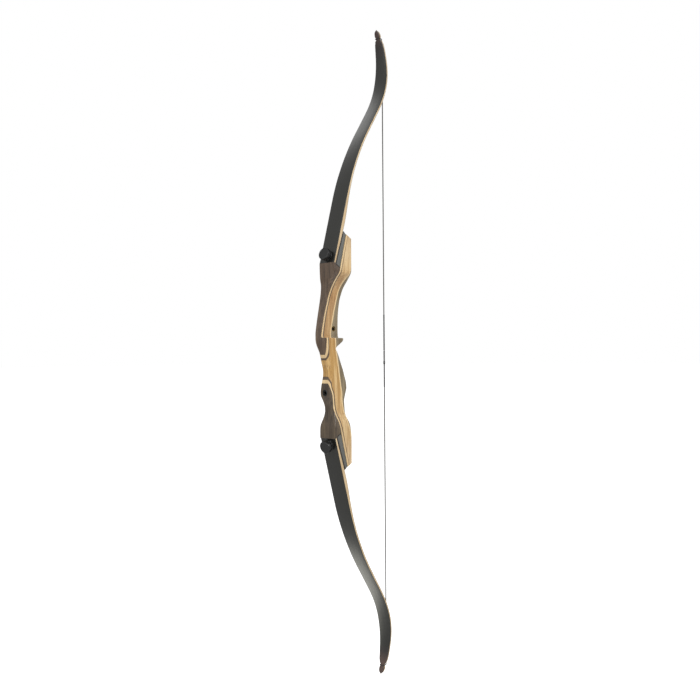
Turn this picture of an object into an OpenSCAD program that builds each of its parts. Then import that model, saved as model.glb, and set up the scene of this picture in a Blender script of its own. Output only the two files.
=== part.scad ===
// Takedown recurve bow, strung. Z runs up along the bow, Y runs from the target side (minus) to the
// string side (plus), X runs to the archer's left, where the sight window is cut. The origin is the
// deepest point of the grip's throat, half way between the two limb tips.

/* [Limbs] */
// Height of each limb's butt end above or below the grip's throat
limb_butt_z = 188; // [184:1:194]
// Depth of the limb's back at its butt end, measured from the throat
limb_butt_y = -20; // [-21:0.5:-19]
// Lean of the limb's butt out of the upright, in degrees
limb_lean = 16.5; // [16:0.1:17]
// Length of a limb along its back, from butt to tip
limb_length = 609; // [595:1:625]
// How far the working part of the limb bends towards the string, in degrees
limb_bend = 17.7; // [16:0.1:19]
// How far the recurve turns back towards the target, in degrees
limb_recurve = 56.5; // [52:0.5:60]
// Width of the limb at its butt
limb_w = 41.6; // [38:0.2:43]
// Width of the limb where the recurve starts
limb_recurve_w = 35.5; // [32:0.5:38]
// Width of the limb just below the string nock
limb_tip_w = 16.5; // [15:0.5:20]
// Width left between the two string nocks
nock_w = 9; // [7:0.5:11]
// Thickness of the limb at its butt
limb_butt_t = 5.6; // [5:0.2:8]
// Thickness of the limb where it leaves the riser
limb_root_t = 10; // [8.5:0.5:11]
// Thickness of the working part of the limb
limb_t = 5; // [4.4:0.2:6]
// Thickness of the glass on the limb's back
back_glass_t = 1; // [0.6:0.1:1.4]
// Thickness of the glass on the limb's belly
belly_glass_t = 0.8; // [0.5:0.1:1.2]
// Thickness of the tip overlay
overlay_t = 2.6; // [1.6:0.2:4]
// Length of the tip overlay below the nock
overlay_l = 42; // [30:1:60]
// Depth of the string groove in the belly of the recurve
groove_depth = 1.6; // [1.4:0.1:2]
// How far the groove starts before the string meets it
groove_lead = 40; // [30:1:50]

/* [Riser] */
// Width of the riser at the limb pockets
riser_w = 44; // [43.6:0.2:48]
// Width of the riser at the grip
grip_w = 27; // [24:0.5:32]
// How far the sight window is cut past the middle of the bow
window_past = 1; // [0:0.5:4]
// Height of the arrow shelf above the throat
shelf_z = 27; // [22:1:32]
// Depth of the riser's belly at the upper pocket
upper_belly_y = 38; // [35:0.5:42]
// Depth of the riser's belly at the lower pocket
lower_belly_y = 35; // [33:0.5:40]
// How far the riser's front stands proud of the limb's back
riser_proud = 1; // [0.5:0.1:2]
// Thickness of the pale veneers
pale_veneer_t = 3.6; // [2.6:0.2:4]
// Thickness of the upper dark veneer
upper_dark_t = 2.8; // [1.4:0.2:3.4]
// Thickness of the lower dark veneer
lower_dark_t = 3; // [1.4:0.2:3.4]
// Depth of the pocket's floor at the limb's butt
pocket_y = 2.5; // [1:0.5:4]
// Lean of the pocket's floor out of the upright, in degrees
pocket_lean = 15.4; // [15:0.2:16]
// Distance from the limb's butt end to the pads' tips, along the limb
pad_l = 76; // [70:1:80]
// Thickness of the liner round the pad
liner_t = 3.2; // [1.4:0.2:4]
// Bevel along the front edges of the grip
grip_front_bevel = 6; // [4:0.5:7]
// Bevel along the belly edges of the grip
grip_belly_bevel = 7; // [4:0.5:8]

/* [Bolts and bushings] */
// Distance of the limb bolt from the limb's butt end
bolt_s = 16; // [14:0.5:20]
// Diameter of the limb bolt
bolt_d = 8; // [6:0.5:10]
// Length of the limb bolt below the knob
bolt_l = 33; // [28:1:36]
// Diameter of the knob
knob_d = 27; // [24:0.5:30]
// Height of the knob
knob_h = 14; // [8:0.5:16]
// Diameter of the knob's washer
washer_d = 22; // [18:0.5:24]
// Thickness of the knob's washer
washer_t = 1.6; // [1:0.2:2.4]
// Outer diameter of the threaded inserts for the limb bolts
insert_d = 13; // [11:0.5:15]
// Length of the threaded inserts for the limb bolts
insert_l = 15; // [12:1:18]
// Diameter of the pins that locate the limb's butt
pin_d = 5; // [4:0.5:7]
// Distance between the locating pins
pin_spacing = 24; // [18:1:28]
// Distance of the locating pins from the limb's butt end
pin_s = 36; // [33:1:44]
// How far the locating pins reach into the limb
pin_in = 4; // [3:0.5:5]
// How far the locating pins reach into the riser
pin_out = 10; // [6:1:12]
// Height of the plunger hole above the throat
plunger_z = 47; // [44:1:52]
// Depth of the plunger hole's middle from the throat
plunger_y = 1.8; // [1.2:0.2:5]
// Diameter of the plunger bushing
plunger_d = 11.6; // [10.5:0.1:12.4]
// Depth from the sight window to the plunger bushing
plunger_recess = 1.6; // [1:0.2:3]
// Height of the stabilizer bushing, below the throat if it is negative
stabilizer_z = -91; // [-94:1:-88]
// Diameter of the stabilizer bushing
stabilizer_d = 13.6; // [12:0.2:15]
// Length of the stabilizer bushing
stabilizer_l = 28; // [24:1:32]
// Bore of the plunger and stabilizer bushings
accessory_bore = 7; // [6:0.1:8]
// Depth of the stabilizer bushing's bore
stabilizer_bore_l = 22; // [16:1:23]

/* [String] */
// Diameter of the string
string_d = 2.6; // [2:0.1:2.8]
// Diameter of the served middle of the string
serving_d = 3.2; // [3:0.1:3.8]
// Length of the middle serving, above and below the middle
serving_l = 85; // [60:1:110]
// Length of the served middle piece that flexes at the arrow, above and below the middle
middle_l = 15; // [14:0.5:20]
// Height of the knot on the middle serving, below the throat if it is negative
knot_z = -28.5; // [-60:0.5:-20]
// Length of the knot on the middle serving
knot_l = 7; // [4:0.5:9]
// Diameter of the knot on the middle serving
knot_d = 4.2; // [4:0.1:5]
// Diameter of each leg of the string's loops
leg_d = 2; // [1.6:0.1:2.2]
// Length of the loop legs below the nock
leg_l = 36; // [30:1:44]

/* [Hidden] */
$fn = 48;

// Gap between pieces that move on each other
run_gap = 0.3;
// Gap round a shaft that turns in a bore, and round a glued bushing
shaft_gap = 0.05;
// A cutting piece reaches this far past what it cuts
past = 1;
// Width of an extrusion that is cut to size by another outline
wide = 100;

// Limb curve. A place on a limb is its distance s from the butt end along the back.
// The limb's tables are drawn for a limb of this length, and stretch with it
drawn_length = 609;
stretch = limb_length / drawn_length;
// The working part of the limb bends from here to there
bend_from = 152 * stretch;
bend_to = 335 * stretch;
// The recurve turns from here to there
turn_from = 385 * stretch;
turn_to = 620 * stretch;
// The limb hinges here in the model, at two places
root_hinge_s = 140 * stretch;
blade_hinge_s = 280 * stretch;
// Distance from the tip to the nock
nock_from_tip = 19;
nock_s = limb_length - nock_from_tip;
groove_to = nock_s - 3;
groove_w = string_d + 3 * run_gap;
limb_steps = 61;
limb_step = limb_length / limb_steps;

function clamp01(x) = min(1, max(0, x));
function smooth(x) = let (c = clamp01(x)) c * c * (3 - 2 * c);
function heading(s) = limb_lean + limb_bend * clamp01((s - bend_from) / (bend_to - bend_from))
    - limb_recurve * smooth((s - turn_from) / (turn_to - turn_from));

// The back of the limb, a list of [height, depth], one point for each step along it
limb_back = [for (i = 0, p = [limb_butt_z, limb_butt_y]; i <= limb_steps;
        i = i + 1, p = p + limb_step * [cos(heading((i - 0.5) * limb_step)),
                                        sin(heading((i - 0.5) * limb_step))]) p];

function back_at(s) = let (k = min(limb_steps - 1, max(0, floor(s / limb_step))), f = s / limb_step - k)
    limb_back[k] * (1 - f) + limb_back[k + 1] * f;
function inward(s) = [-sin(heading(s)), cos(heading(s))];

// Thickness of the whole limb and of the overlay at its tip
function limb_thick(s) = lookup(s / stretch, [[0, limb_butt_t], [97, limb_root_t],
    [144, limb_t + 2.8], [190, limb_t + 0.8], [215, limb_t + 0.3], [330, limb_t], [430, limb_t - 0.4],
    [500, limb_t - 0.8]]);
function overlay_thick(s) = overlay_t * clamp01((s - nock_s + overlay_l) / overlay_l);

// A point inside the limb: depth d below the back of its glass
function inside_at(s, d) = back_at(s) + inward(s) * (overlay_thick(s) + d);
function belly_at(s) = inside_at(s, limb_thick(s));

// Stations along the limb from one place to another
function limb_stations(from, to) = [from,
    each [for (i = [1:limb_steps - 1]) if (i * limb_step > from + 1 && i * limb_step < to - 1) i * limb_step],
    to];

// The limb's outline seen from the front: [distance along the limb, half width]
function half_width(s) = s < 477 * stretch
    ? (limb_recurve_w + (limb_w - limb_recurve_w) * lookup(s / stretch, [[0, 1], [158, 1],
        [196, 0.87], [225, 0.66], [257, 0.47], [290, 0.24], [331, 0.08], [367, 0]])) / 2
    : (limb_tip_w + (limb_recurve_w - limb_tip_w) * lookup((limb_length - s) / stretch, [[24, 0],
        [32, 0.29], [47, 0.447], [74, 0.71], [102, 0.905], [132, 1]])) / 2;
tip_outline = [[24, limb_tip_w / 2], [22.8, nock_w / 2 + 1.2], [21, nock_w / 2], [18, nock_w / 2],
    [15.6, nock_w / 2 + 0.9], [13.6, nock_w / 2 + 2], [9, nock_w / 2 + 1.7], [4.5, nock_w / 2],
    [1.5, nock_w / 4], [0, nock_w / 12]];
blade_end = limb_length - 26;

// Riser outlines: each is a list of [height, value] through which a smooth curve is drawn.
// They are drawn for a limb butt at this height, and stretch with it.
drawn_butt_z = 188;
function tangent(p, i) = i == 0 || i == len(p) - 1 ? 0
    : (p[i + 1][1] - p[i - 1][1]) / (p[i + 1][0] - p[i - 1][0]);
function piece_of(p, v) = max([0, each [for (k = [0:len(p) - 2]) if (p[k][0] <= v) k]]);
function curve(p, v) = v <= p[0][0] ? p[0][1] : v >= p[len(p) - 1][0] ? p[len(p) - 1][1]
    : let (i = piece_of(p, v), h = p[i + 1][0] - p[i][0], t = (v - p[i][0]) / h)
      p[i][1] * (2 * t ^ 3 - 3 * t ^ 2 + 1) + p[i + 1][1] * (3 * t ^ 2 - 2 * t ^ 3)
      + h * tangent(p, i) * (t ^ 3 - 2 * t ^ 2 + t) + h * tangent(p, i + 1) * (t ^ 3 - t ^ 2);
function riser(p, z) = curve(p, z * drawn_butt_z / limb_butt_z);

pocket_front = limb_butt_y - riser_proud;
front_line = [[-210, pocket_front - 1], [-188, pocket_front - 1], [-168, pocket_front - 1],
    [-148, pocket_front + 0.6], [-134, -19.3], [-125, -20], [-116, -21.5], [-107, -24.5], [-99, -28],
    [-90, -28.6], [-77, -29], [-64, -27.5], [-56, -26], [-47, -25.5], [-38, -27], [-30, -29.5],
    [-17, -33], [-6, -36], [4, -37.8], [13, -38.6], [22, -39], [30, -38], [39, -36.7], [56, -33.5],
    [73, -30], [91, -26], [108, -22.5], [125, -19.5], [142, -18.5], [160, pocket_front + 1],
    [188, pocket_front], [210, pocket_front]];
belly_line = [[-270, lower_belly_y], [-190, lower_belly_y], [-179, lower_belly_y - 1],
    [-170, lower_belly_y - 2.5], [-161, lower_belly_y - 4], [-153, 28.6], [-144, 25.4], [-135, 24.8],
    [-126, 24.6], [-118, 24], [-109, 23.6], [-100, 26.6], [-92, 30.3], [-83, 34.2], [-74, 34], [-65, 32],
    [-57, 29], [-48, 26], [-39, 22.5], [-31, 18.5], [-22, 14], [-13, 10], [-4, 5], [4, 0.2], [8, 3.5],
    [15, 13.5], [19, 18.4], [22.5, 20.4], [27, 19.4], [33, 17.8], [42, 17], [70, 17.4], [82, 18.4], [91, 19.6],
    [100, 21.3], [108, 23], [117, 25.3], [126, 28], [134, 30], [143, 32.7], [152, 35.6],
    [165, upper_belly_y - 1], [178, upper_belly_y], [270, upper_belly_y]];
// How far each side has widened from the grip to the full width of the riser, from 0 to 1
right_width = [[-270, 1], [-167, 1], [-160, 0.93], [-152, 0.74], [-145, 0.46], [-138, 0.2], [-130, 0.02],
    [-122, 0], [40, 0]];
left_width = [[-270, 1], [-172, 1], [-164, 0.95], [-156, 0.72], [-149, 0.44], [-142, 0.18], [-133, 0.02],
    [-125, 0], [-10, 0], [-4, 0.06], [4, 0.4], [12, 0.76], [20, 0.88], [140, 0.88], [152, 1], [270, 1]];
// How far the side has come from the sight window back to the full width, from 0 to 1
window_width = [[20, 0], [108, 0], [118, 0.04], [126, 0.09], [134, 0.17], [142, 0.31], [150, 0.48],
    [157, 0.66], [163, 0.84], [168, 0.95], [174, 1], [270, 1]];
// Bevels of the front and belly edges
pocket_bevel = 2;
front_bevel = [[-270, pocket_bevel], [-162, pocket_bevel], [-150, 3.6], [-138, grip_front_bevel - 1],
    [-123, grip_front_bevel], [-104, 3], [-91, 1.2], [-78, 3.4], [-58, grip_front_bevel],
    [10, grip_front_bevel], [26, 4], [40, 2.4], [140, 2.4], [160, pocket_bevel], [270, pocket_bevel]];
belly_bevel = [[-270, pocket_bevel], [-165, pocket_bevel], [-140, 4], [-110, 4.4], [-80, grip_belly_bevel],
    [8, grip_belly_bevel], [24, 3], [40, 1.6], [130, 1.6], [165, pocket_bevel], [270, pocket_bevel]];

// Seams between the layers of the riser, as depths. Past the pocket's end they follow its floor.
function floor_at(z) = pocket_y + tan(pocket_lean) * (abs(z) - limb_butt_z);
pocket_start = 178;
seam_start_y = floor_at(pocket_start * limb_butt_z / drawn_butt_z);
upper_seam = [[-40, -46], [-24, -39.8], [-17, -37], [-10, -35.1], [0, -34.8], [8, -34.8],
    [24, -35.4], [32, -36], [40, -35], [51, -33], [62, -30.6], [73, -28], [82, -25.6], [90, -23.2], [97, -20.8], [105, -18], [112, -16.2],
    [120, -14.2], [130, -11], [141, -8.6], [152, -6.6], [162, -4.4], [170, -2.4],
    [pocket_start, seam_start_y]];
lower_seam = [[-pocket_start, seam_start_y], [-170, -2.6], [-161, -5], [-152, -7.5], [-145, -9.7],
    [-138, -11.7], [-131, -13.6], [-123, -15.6], [-115, -17], [-104, -18.4], [-97, -19.2], [-91, -21],
    [-84, -24.6], [-77, -27], [-70, -28.5], [-63, -31], [-55, -33], [-40, -36], [-30, -38]];
belly_seam = [[-240, lower_belly_y + 30], [-200, lower_belly_y + 8], [-190, lower_belly_y + 1],
    [-181, lower_belly_y - 2.5], [-170, 29], [-159, 25], [-150, 22.8], [-140, 21], [-126, 17.2],
    [-115, 14.4], [-104, 13], [-93, 13], [-85, 11.6], [-76, 9.4], [-62, 7], [-51, 4.8], [-40, 3.2],
    [-27, 0.6], [-13, -2.4], [0, -4.6], [8, -5.6], [24, -6.6], [38, -6.3], [48, -4.8], [57, -2.4],
    [66, 0.2], [76, 2.8], [82, 4], [90, 6.5], [97, 8.8], [104, 11], [112, 13.4], [119, 14.8],
    [126, 16.2], [133, 18], [140, 20], [148, 22.8], [156, 27], [167, 32.2], [180, upper_belly_y - 2.5],
    [190, upper_belly_y - 0.6], [200, upper_belly_y + 2.2], [215, upper_belly_y + 7],
    [240, upper_belly_y + 16]];

function upper_seam_at(z) = z >= limb_butt_z - 18 ? floor_at(z) : riser(upper_seam, z);
function lower_seam_at(z) = z <= 18 - limb_butt_z ? floor_at(z) : riser(lower_seam, z);
function belly_seam_at(z) = riser(belly_seam, z);
// Depth through a veneer of thickness t whose seam leans, for a seam given as a function of height
function through(seam, z, t) = t * sqrt(1 + ((seam(z + 1) - seam(z - 1)) / 2) ^ 2);
function upper_pale_at(z) = upper_seam_at(z) + through(function (v) upper_seam_at(v), z, pale_veneer_t);
function upper_dark_at(z) = upper_seam_at(z)
    + through(function (v) upper_seam_at(v), z, pale_veneer_t + upper_dark_t);
function lower_pale_at(z) = lower_seam_at(z) + through(function (v) lower_seam_at(v), z, pale_veneer_t);
function lower_dark_at(z) = lower_seam_at(z)
    + through(function (v) lower_seam_at(v), z, pale_veneer_t + lower_dark_t);
function belly_pale_at(z) = belly_seam_at(z) - through(function (v) belly_seam_at(v), z, pale_veneer_t);

// The riser's wood reaches past each limb butt, and its end slopes back to the belly
tongue_l = 64;
tongue_slope_l = 9;
riser_end = limb_butt_z + tongue_l;
riser_step = 5;
// All the front seams have come out through the grip's front at this height
seam_exit_middle = -39;

// The lower end of the pad and its liner in the upper pocket
pad_end_lean = 28;
function cross_of(a, b) = a[0] * b[1] - a[1] * b[0];
function meet(p, d, q, e) = p + d * cross_of(q - p, e) / cross_of(d, e);
floor_point = [limb_butt_z, pocket_y];
floor_way = [cos(pocket_lean), sin(pocket_lean)];
pad_end_way = [-sin(pad_end_lean), cos(pad_end_lean)];
limb_way = [cos(limb_lean), sin(limb_lean)];
liner_corner = belly_at(0) - [liner_t, 0];
liner_floor = meet(liner_corner, pad_end_way, floor_point, floor_way);
pad_end_point = liner_corner + liner_t * [cos(pad_end_lean), sin(pad_end_lean)];
pad_corner = meet(pad_end_point, pad_end_way, belly_at(0) + liner_t * inward(0), limb_way);
pad_floor = meet(pad_end_point, pad_end_way, floor_point, floor_way);
// The pad's tip slopes from the limb down to the end of the wood
pad_tip = floor_point + floor_way * tongue_l / cos(pocket_lean);

// Places of the fastenings, as depths along a line square to the limb's back
function floor_depth(s) = (floor_at(back_at(s)[0]) - back_at(s)[1])
    / (cos(heading(s)) + tan(pocket_lean) * sin(heading(s)));
insert_depth = floor_depth(bolt_s) + run_gap;
bolt_hole_d = bolt_d + 1;

// The string lies in its groove where the belly reaches furthest back
contact_s = let (from = floor(turn_from), depths = [for (s = [from:1:floor(nock_s)]) belly_at(s)[1]])
    from + search(max(depths), depths)[0];
string_y = belly_at(contact_s)[1];
contact_z = belly_at(contact_s)[0];
groove_from = contact_s - groove_lead;
leg_from = nock_s - leg_l;
// The string's legs turn at the nock about this point, and stand this far from the middle
nock_point = [back_at(nock_s)[0], belly_at(nock_s)[1] - leg_d / 2];
leg_x = nock_w / 2 + leg_d / 2 + run_gap;
loop_d = leg_d + 0.2;
cord_sides = 8;

function stations(from, to) = let (n = ceil((to - from) / riser_step))
    [for (i = [0:n]) from + (to - from) * i / n];
// Seams are cut at shared heights, so two layers meet without a gap or an overlap
function seam_stations(from, to) = [from,
    each [for (i = [floor(from / riser_step) + 1:ceil(to / riser_step) - 1]) i * riser_step], to];
function backwards(p) = [for (i = [len(p) - 1:-1:0]) p[i]];
function flipped(p) = [for (v = p) [v[1], v[0]]];

// A side profile, [depth, height], made into a solid across the bow
module across(width = wide) rotate([90, 0, 90]) linear_extrude(width, center = true) children();
// A front profile, [side, height], made into a solid along the arrow's way and turned about Z
module along(turn = 0) rotate([0, 0, turn]) rotate([90, 0, 0])
    linear_extrude(5 * wide, center = true) children();
module lower() mirror([0, 0, 1]) children();
module both() { children(); lower() children(); }

// Riser sections: the half sides, front and belly at one height, below or above the shelf
function right_at(z, window) = window
    ? -window_past + (riser_w / 2 + window_past) * clamp01(riser(window_width, z))
    : grip_w / 2 + (riser_w - grip_w) / 2 * clamp01(riser(right_width, z));
function left_at(z) = -grip_w / 2 - (riser_w - grip_w) / 2 * clamp01(riser(left_width, z));
function front_at(z) = riser(front_line, z);
function rear_at(z) = riser(belly_line, z);

// Points up the riser's right side, with a step at the arrow shelf
function right_side(from, to, step_z, value) = [
    each from < step_z ? [for (z = stations(from, min(to, step_z))) [value(z, false), z]] : [],
    each to > step_z ? [for (z = stations(max(from, step_z), to)) [value(z, true), z]] : []];

// The outlines that cut a layer overrun it by different amounts, so their edges don't coincide
module riser_front(from, to) {
    low = from - 1.1;
    high = to + 1.3;
    along() polygon([
        each right_side(low, high, shelf_z, function (z, w) right_at(z, w)),
        each backwards([for (z = stations(low, high)) [left_at(z), z]])]);
}

// The corner bevels, as outlines across the two diagonals of the section
module riser_bevel_one(from, to) {
    low = from - 2.3;
    high = to + 2.9;
    along(45) polygon([
        each right_side(low, high, shelf_z + 0.6,
            function (z, w) (right_at(z, w) + rear_at(z) - riser(belly_bevel, z)) / sqrt(2)),
        each backwards([for (z = stations(low, high))
            [(left_at(z) + front_at(z) + riser(front_bevel, z)) / sqrt(2), z]])]);
}
module riser_bevel_two(from, to) {
    low = from - 3.4;
    high = to + 3.7;
    along(135) polygon([
        each [for (z = stations(low, high))
            [(rear_at(z) - left_at(z) - riser(belly_bevel, z)) / sqrt(2), z]],
        each backwards(right_side(low, high, shelf_z + 1.1,
            function (z, w) (front_at(z) - right_at(z, w) + riser(front_bevel, z)) / sqrt(2)))]);
}

module riser_side(from, to) {
    polygon([each [for (z = stations(from, to)) [front_at(z), z]],
        each backwards([for (z = stations(from, to)) [rear_at(z), z]])]);
}

// One layer of the riser between two heights; its children are its region in side view
module layer(from, to) intersection() {
    across() intersection() {
        riser_side(from, to);
        children();
    }
    riser_front(from, to);
    riser_bevel_one(from, to);
    riser_bevel_two(from, to);
}

// The region in side view between two seams
module between(from, to, front, rear) polygon([
    each [for (z = seam_stations(from, to)) [front(z), z]],
    each backwards([for (z = seam_stations(from, to)) [rear(z), z]])]);

// The wood's sloping ends past the pockets
module wood_ends() {
    end_y = floor_at(riser_end);
    slope_z = riser_end - tongue_slope_l;
    polygon([[-wide, riser_end], [end_y, riser_end], [upper_belly_y, slope_z], [wide, slope_z],
        [wide, -slope_z], [lower_belly_y, -slope_z], [end_y, -riser_end], [-wide, -riser_end]]);
}

// The block's end against the limb butt, the liner and the pocket's floor
module block_region(from, seam) polygon([
    [-wide, from],
    each [for (z = seam_stations(from, liner_floor[0])) [seam(z), z]],
    each flipped([liner_corner, belly_at(0), back_at(0), back_at(0) - wide * inward(0)])]);

// Holes of the upper pocket
module on_limb(s) translate([0, back_at(s)[1], back_at(s)[0]]) rotate([90 - heading(s), 0, 0]) children();
module down_from(depth, d, l) translate([0, 0, -depth - l]) cylinder(d = d, h = l);
module bolt_way() on_limb(bolt_s) down_from(-past, bolt_hole_d, insert_depth + past);
module insert_way() on_limb(bolt_s)
    down_from(floor_depth(bolt_s) - past, insert_d + 2 * shaft_gap, insert_l + past + run_gap);
module pin_pair(gap) on_limb(pin_s) for (side = [-1, 1])
    translate([side * pin_spacing / 2, 0, 0])
        down_from(limb_thick(pin_s) - pin_in - gap, pin_d + 2 * gap,
            floor_depth(pin_s) - limb_thick(pin_s) + pin_in + pin_out + 2 * gap);
module pocket_holes() {
    bolt_way();
    insert_way();
    pin_pair(shaft_gap);
}
module pad_holes() {
    bolt_way();
    pin_pair(shaft_gap);
}
module stabilizer_way() translate([0, front_at(stabilizer_z) - past, stabilizer_z])
    rotate([-90, 0, 0]) cylinder(d = stabilizer_d + 2 * shaft_gap, h = stabilizer_l + past + shaft_gap);

// Riser layers
module riser_core() color("tan") difference() {
    layer(-riser_end, riser_end) intersection() {
        polygon([
            each [for (z = seam_stations(-riser_end, seam_exit_middle)) [lower_dark_at(z), z]],
            each [for (z = seam_stations(seam_exit_middle, riser_end)) [upper_dark_at(z), z]],
            each backwards([for (z = seam_stations(-riser_end, riser_end)) [belly_pale_at(z), z]])]);
        wood_ends();
    }
    both() pocket_holes();
    stabilizer_way();
}
module upper_front_block() color([0.38, 0.33, 0.28])
    layer(seam_exit_middle, limb_butt_z + 5) block_region(seam_exit_middle, function (z) upper_seam_at(z));
module lower_front_block() color([0.31, 0.28, 0.24]) difference() {
    layer(-limb_butt_z - 5, seam_exit_middle) mirror([0, 1]) block_region(-seam_exit_middle,
        function (z) lower_seam_at(-z));
    stabilizer_way();
}
module belly_block() color([0.57, 0.52, 0.45]) difference() {
    layer(-limb_butt_z - 10, limb_butt_z + 20)
        between(-limb_butt_z - 10, limb_butt_z + 20, function (z) belly_seam_at(z), function (z) wide);
    translate([0, plunger_y, plunger_z]) rotate([0, 90, 0])
        cylinder(d = plunger_d, h = 2 * wide, center = true);
}
module upper_pale_veneer() color([0.93, 0.82, 0.63]) difference() {
    layer(seam_exit_middle, riser_end) intersection() {
        between(seam_exit_middle, riser_end, function (z) upper_seam_at(z), function (z) upper_pale_at(z));
        wood_ends();
    }
    pocket_holes();
}
module upper_dark_veneer() color([0.37, 0.31, 0.24]) difference() {
    layer(seam_exit_middle, riser_end) intersection() {
        between(seam_exit_middle, riser_end, function (z) upper_pale_at(z), function (z) upper_dark_at(z));
        wood_ends();
    }
    pocket_holes();
}
module lower_pale_veneer() color([0.93, 0.82, 0.63]) difference() {
    layer(-riser_end, seam_exit_middle) intersection() {
        between(-riser_end, seam_exit_middle, function (z) lower_seam_at(z), function (z) lower_pale_at(z));
        wood_ends();
    }
    lower() pocket_holes();
    stabilizer_way();
}
module lower_dark_veneer() color([0.37, 0.31, 0.24]) difference() {
    layer(-riser_end, seam_exit_middle) intersection() {
        between(-riser_end, seam_exit_middle, function (z) lower_pale_at(z), function (z) lower_dark_at(z));
        wood_ends();
    }
    lower() pocket_holes();
    stabilizer_way();
}
module belly_pale_veneer() color([0.93, 0.82, 0.63])
    layer(-limb_butt_z - 30, limb_butt_z + 40)
        between(-limb_butt_z - 30, limb_butt_z + 40, function (z) belly_pale_at(z),
            function (z) belly_seam_at(z));

// Pads and liners, drawn for the upper pocket
liner_inside = [for (s = [pad_l, 40, 20]) belly_at(s) + liner_t * inward(s)];
module limb_pad() color([0.45, 0.46, 0.44]) difference() {
    across(limb_w) polygon(flipped([pad_corner, each backwards(liner_inside), pad_tip, pad_floor]));
    pad_holes();
}
module pad_liner() color([0.14, 0.11, 0.08]) difference() {
    across(limb_w) polygon(flipped([liner_corner, belly_at(0), belly_at(20), belly_at(40),
        belly_at(pad_l), each liner_inside, pad_corner, pad_floor, liner_floor]));
    pad_holes();
}

// Inserts, pins and bushings
module bolt_insert() color([0.69, 0.57, 0.2]) on_limb(bolt_s) difference() {
    down_from(insert_depth, insert_d, insert_l);
    down_from(insert_depth - past, bolt_d + 2 * shaft_gap, insert_l + 2 * past);
}
module locating_pins() color("silver") pin_pair(0);
module plunger_bushing() color([0.69, 0.57, 0.2]) {
    from = left_at(plunger_z);
    translate([from, plunger_y, plunger_z]) rotate([0, 90, 0]) difference() {
        cylinder(d = plunger_d, h = -window_past - plunger_recess - from);
        translate([0, 0, -past]) cylinder(d = accessory_bore, h = 2 * riser_w);
    }
}
module stabilizer_bushing() color([0.18, 0.19, 0.19])
    translate([0, front_at(stabilizer_z), stabilizer_z]) rotate([-90, 0, 0]) difference() {
        cylinder(d = stabilizer_d, h = stabilizer_l);
        translate([0, 0, -past]) cylinder(d = accessory_bore, h = stabilizer_bore_l + past);
    }

// One layer of a limb, between two places along it and two depths
module limb_layer(from, to, front, rear) {
    places = limb_stations(from, to);
    intersection() {
        across() polygon(flipped([
            each [for (s = places) inside_at(s, front(s))],
            each backwards([for (s = places) inside_at(s, rear(s))])]));
        along() polygon([each limb_side(1), each backwards(limb_side(-1))]);
    }
}
function limb_side(side) = [
    [side * half_width(0), limb_butt_z - 20],
    each [for (s = limb_stations(0, blade_end)) [side * half_width(s), back_at(s)[0]]],
    each [for (p = tip_outline) [side * p[1], back_at(limb_length - p[0])[0]]]];
module string_groove() across(groove_w) polygon(flipped([
    each [for (s = limb_stations(groove_from, groove_to)) inside_at(s, limb_thick(s) - groove_depth)],
    each backwards([for (s = limb_stations(groove_from, groove_to)) inside_at(s, limb_thick(s) + 5)])]));

module back_glass(from, to) color([0.2, 0.2, 0.2])
    limb_layer(from, to, function (s) 0, function (s) back_glass_t);
module limb_core(from, to) color([0.93, 0.84, 0.7])
    limb_layer(from, to, function (s) back_glass_t, function (s) limb_thick(s) - belly_glass_t);
module belly_glass(from, to) color([0.2, 0.2, 0.2])
    limb_layer(from, to, function (s) limb_thick(s) - belly_glass_t, function (s) limb_thick(s));

butt_end_s = root_hinge_s - run_gap / 2;
blade_start_s = root_hinge_s + run_gap / 2;
blade_end_s = blade_hinge_s - run_gap / 2;
recurve_start_s = blade_hinge_s + run_gap / 2;
tip_end_s = limb_length + 5;

module butt_back_glass() difference() {
    back_glass(0, butt_end_s);
    bolt_way();
}
module butt_core() difference() {
    limb_core(0, butt_end_s);
    pad_holes();
}
module butt_belly_glass() difference() {
    belly_glass(0, butt_end_s);
    pad_holes();
}
module blade_back_glass() back_glass(blade_start_s, blade_end_s);
module blade_core() limb_core(blade_start_s, blade_end_s);
module blade_belly_glass() belly_glass(blade_start_s, blade_end_s);
module recurve_back_glass() back_glass(recurve_start_s, tip_end_s);
module recurve_core() difference() {
    limb_core(recurve_start_s, tip_end_s);
    string_groove();
}
module recurve_belly_glass() difference() {
    belly_glass(recurve_start_s, tip_end_s);
    string_groove();
}
module tip_overlay() color([0.33, 0.28, 0.26])
    limb_layer(nock_s - overlay_l + past, tip_end_s, function (s) -overlay_thick(s), function (s) 0);

// Limb bolts
module washer() color("silver") on_limb(bolt_s) translate([0, 0, shaft_gap]) difference() {
    cylinder(d = washer_d, h = washer_t);
    translate([0, 0, -past]) cylinder(d = bolt_d + 1, h = washer_t + 2 * past);
}
knob_base = shaft_gap + washer_t + shaft_gap;
bolt_top = knob_base + knob_h / 2;
// The knob has a thick cap over a shallow groove and a foot
rim = knob_d / 2;
knob_edge = 1.5;
knob_foot = 2.2;
knob_waist = 3.2;
module knob() color([0.06, 0.06, 0.06]) on_limb(bolt_s) translate([0, 0, knob_base]) difference() {
    rotate_extrude() polygon([[0, 0], [rim - knob_edge, 0], [rim - knob_edge, knob_foot],
        [rim - knob_waist, knob_foot + 0.6], [rim - knob_waist, knob_foot + 1.8],
        [rim, knob_foot + 3], [rim, knob_h - knob_edge], [rim - knob_edge, knob_h], [0, knob_h]]);
    translate([0, 0, -past]) cylinder(d = bolt_d, h = bolt_top - knob_base + past);
}
module bolt() color("silver") on_limb(bolt_s)
    translate([0, 0, knob_base - bolt_l]) cylinder(d = bolt_d, h = bolt_l + bolt_top - knob_base);

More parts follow.
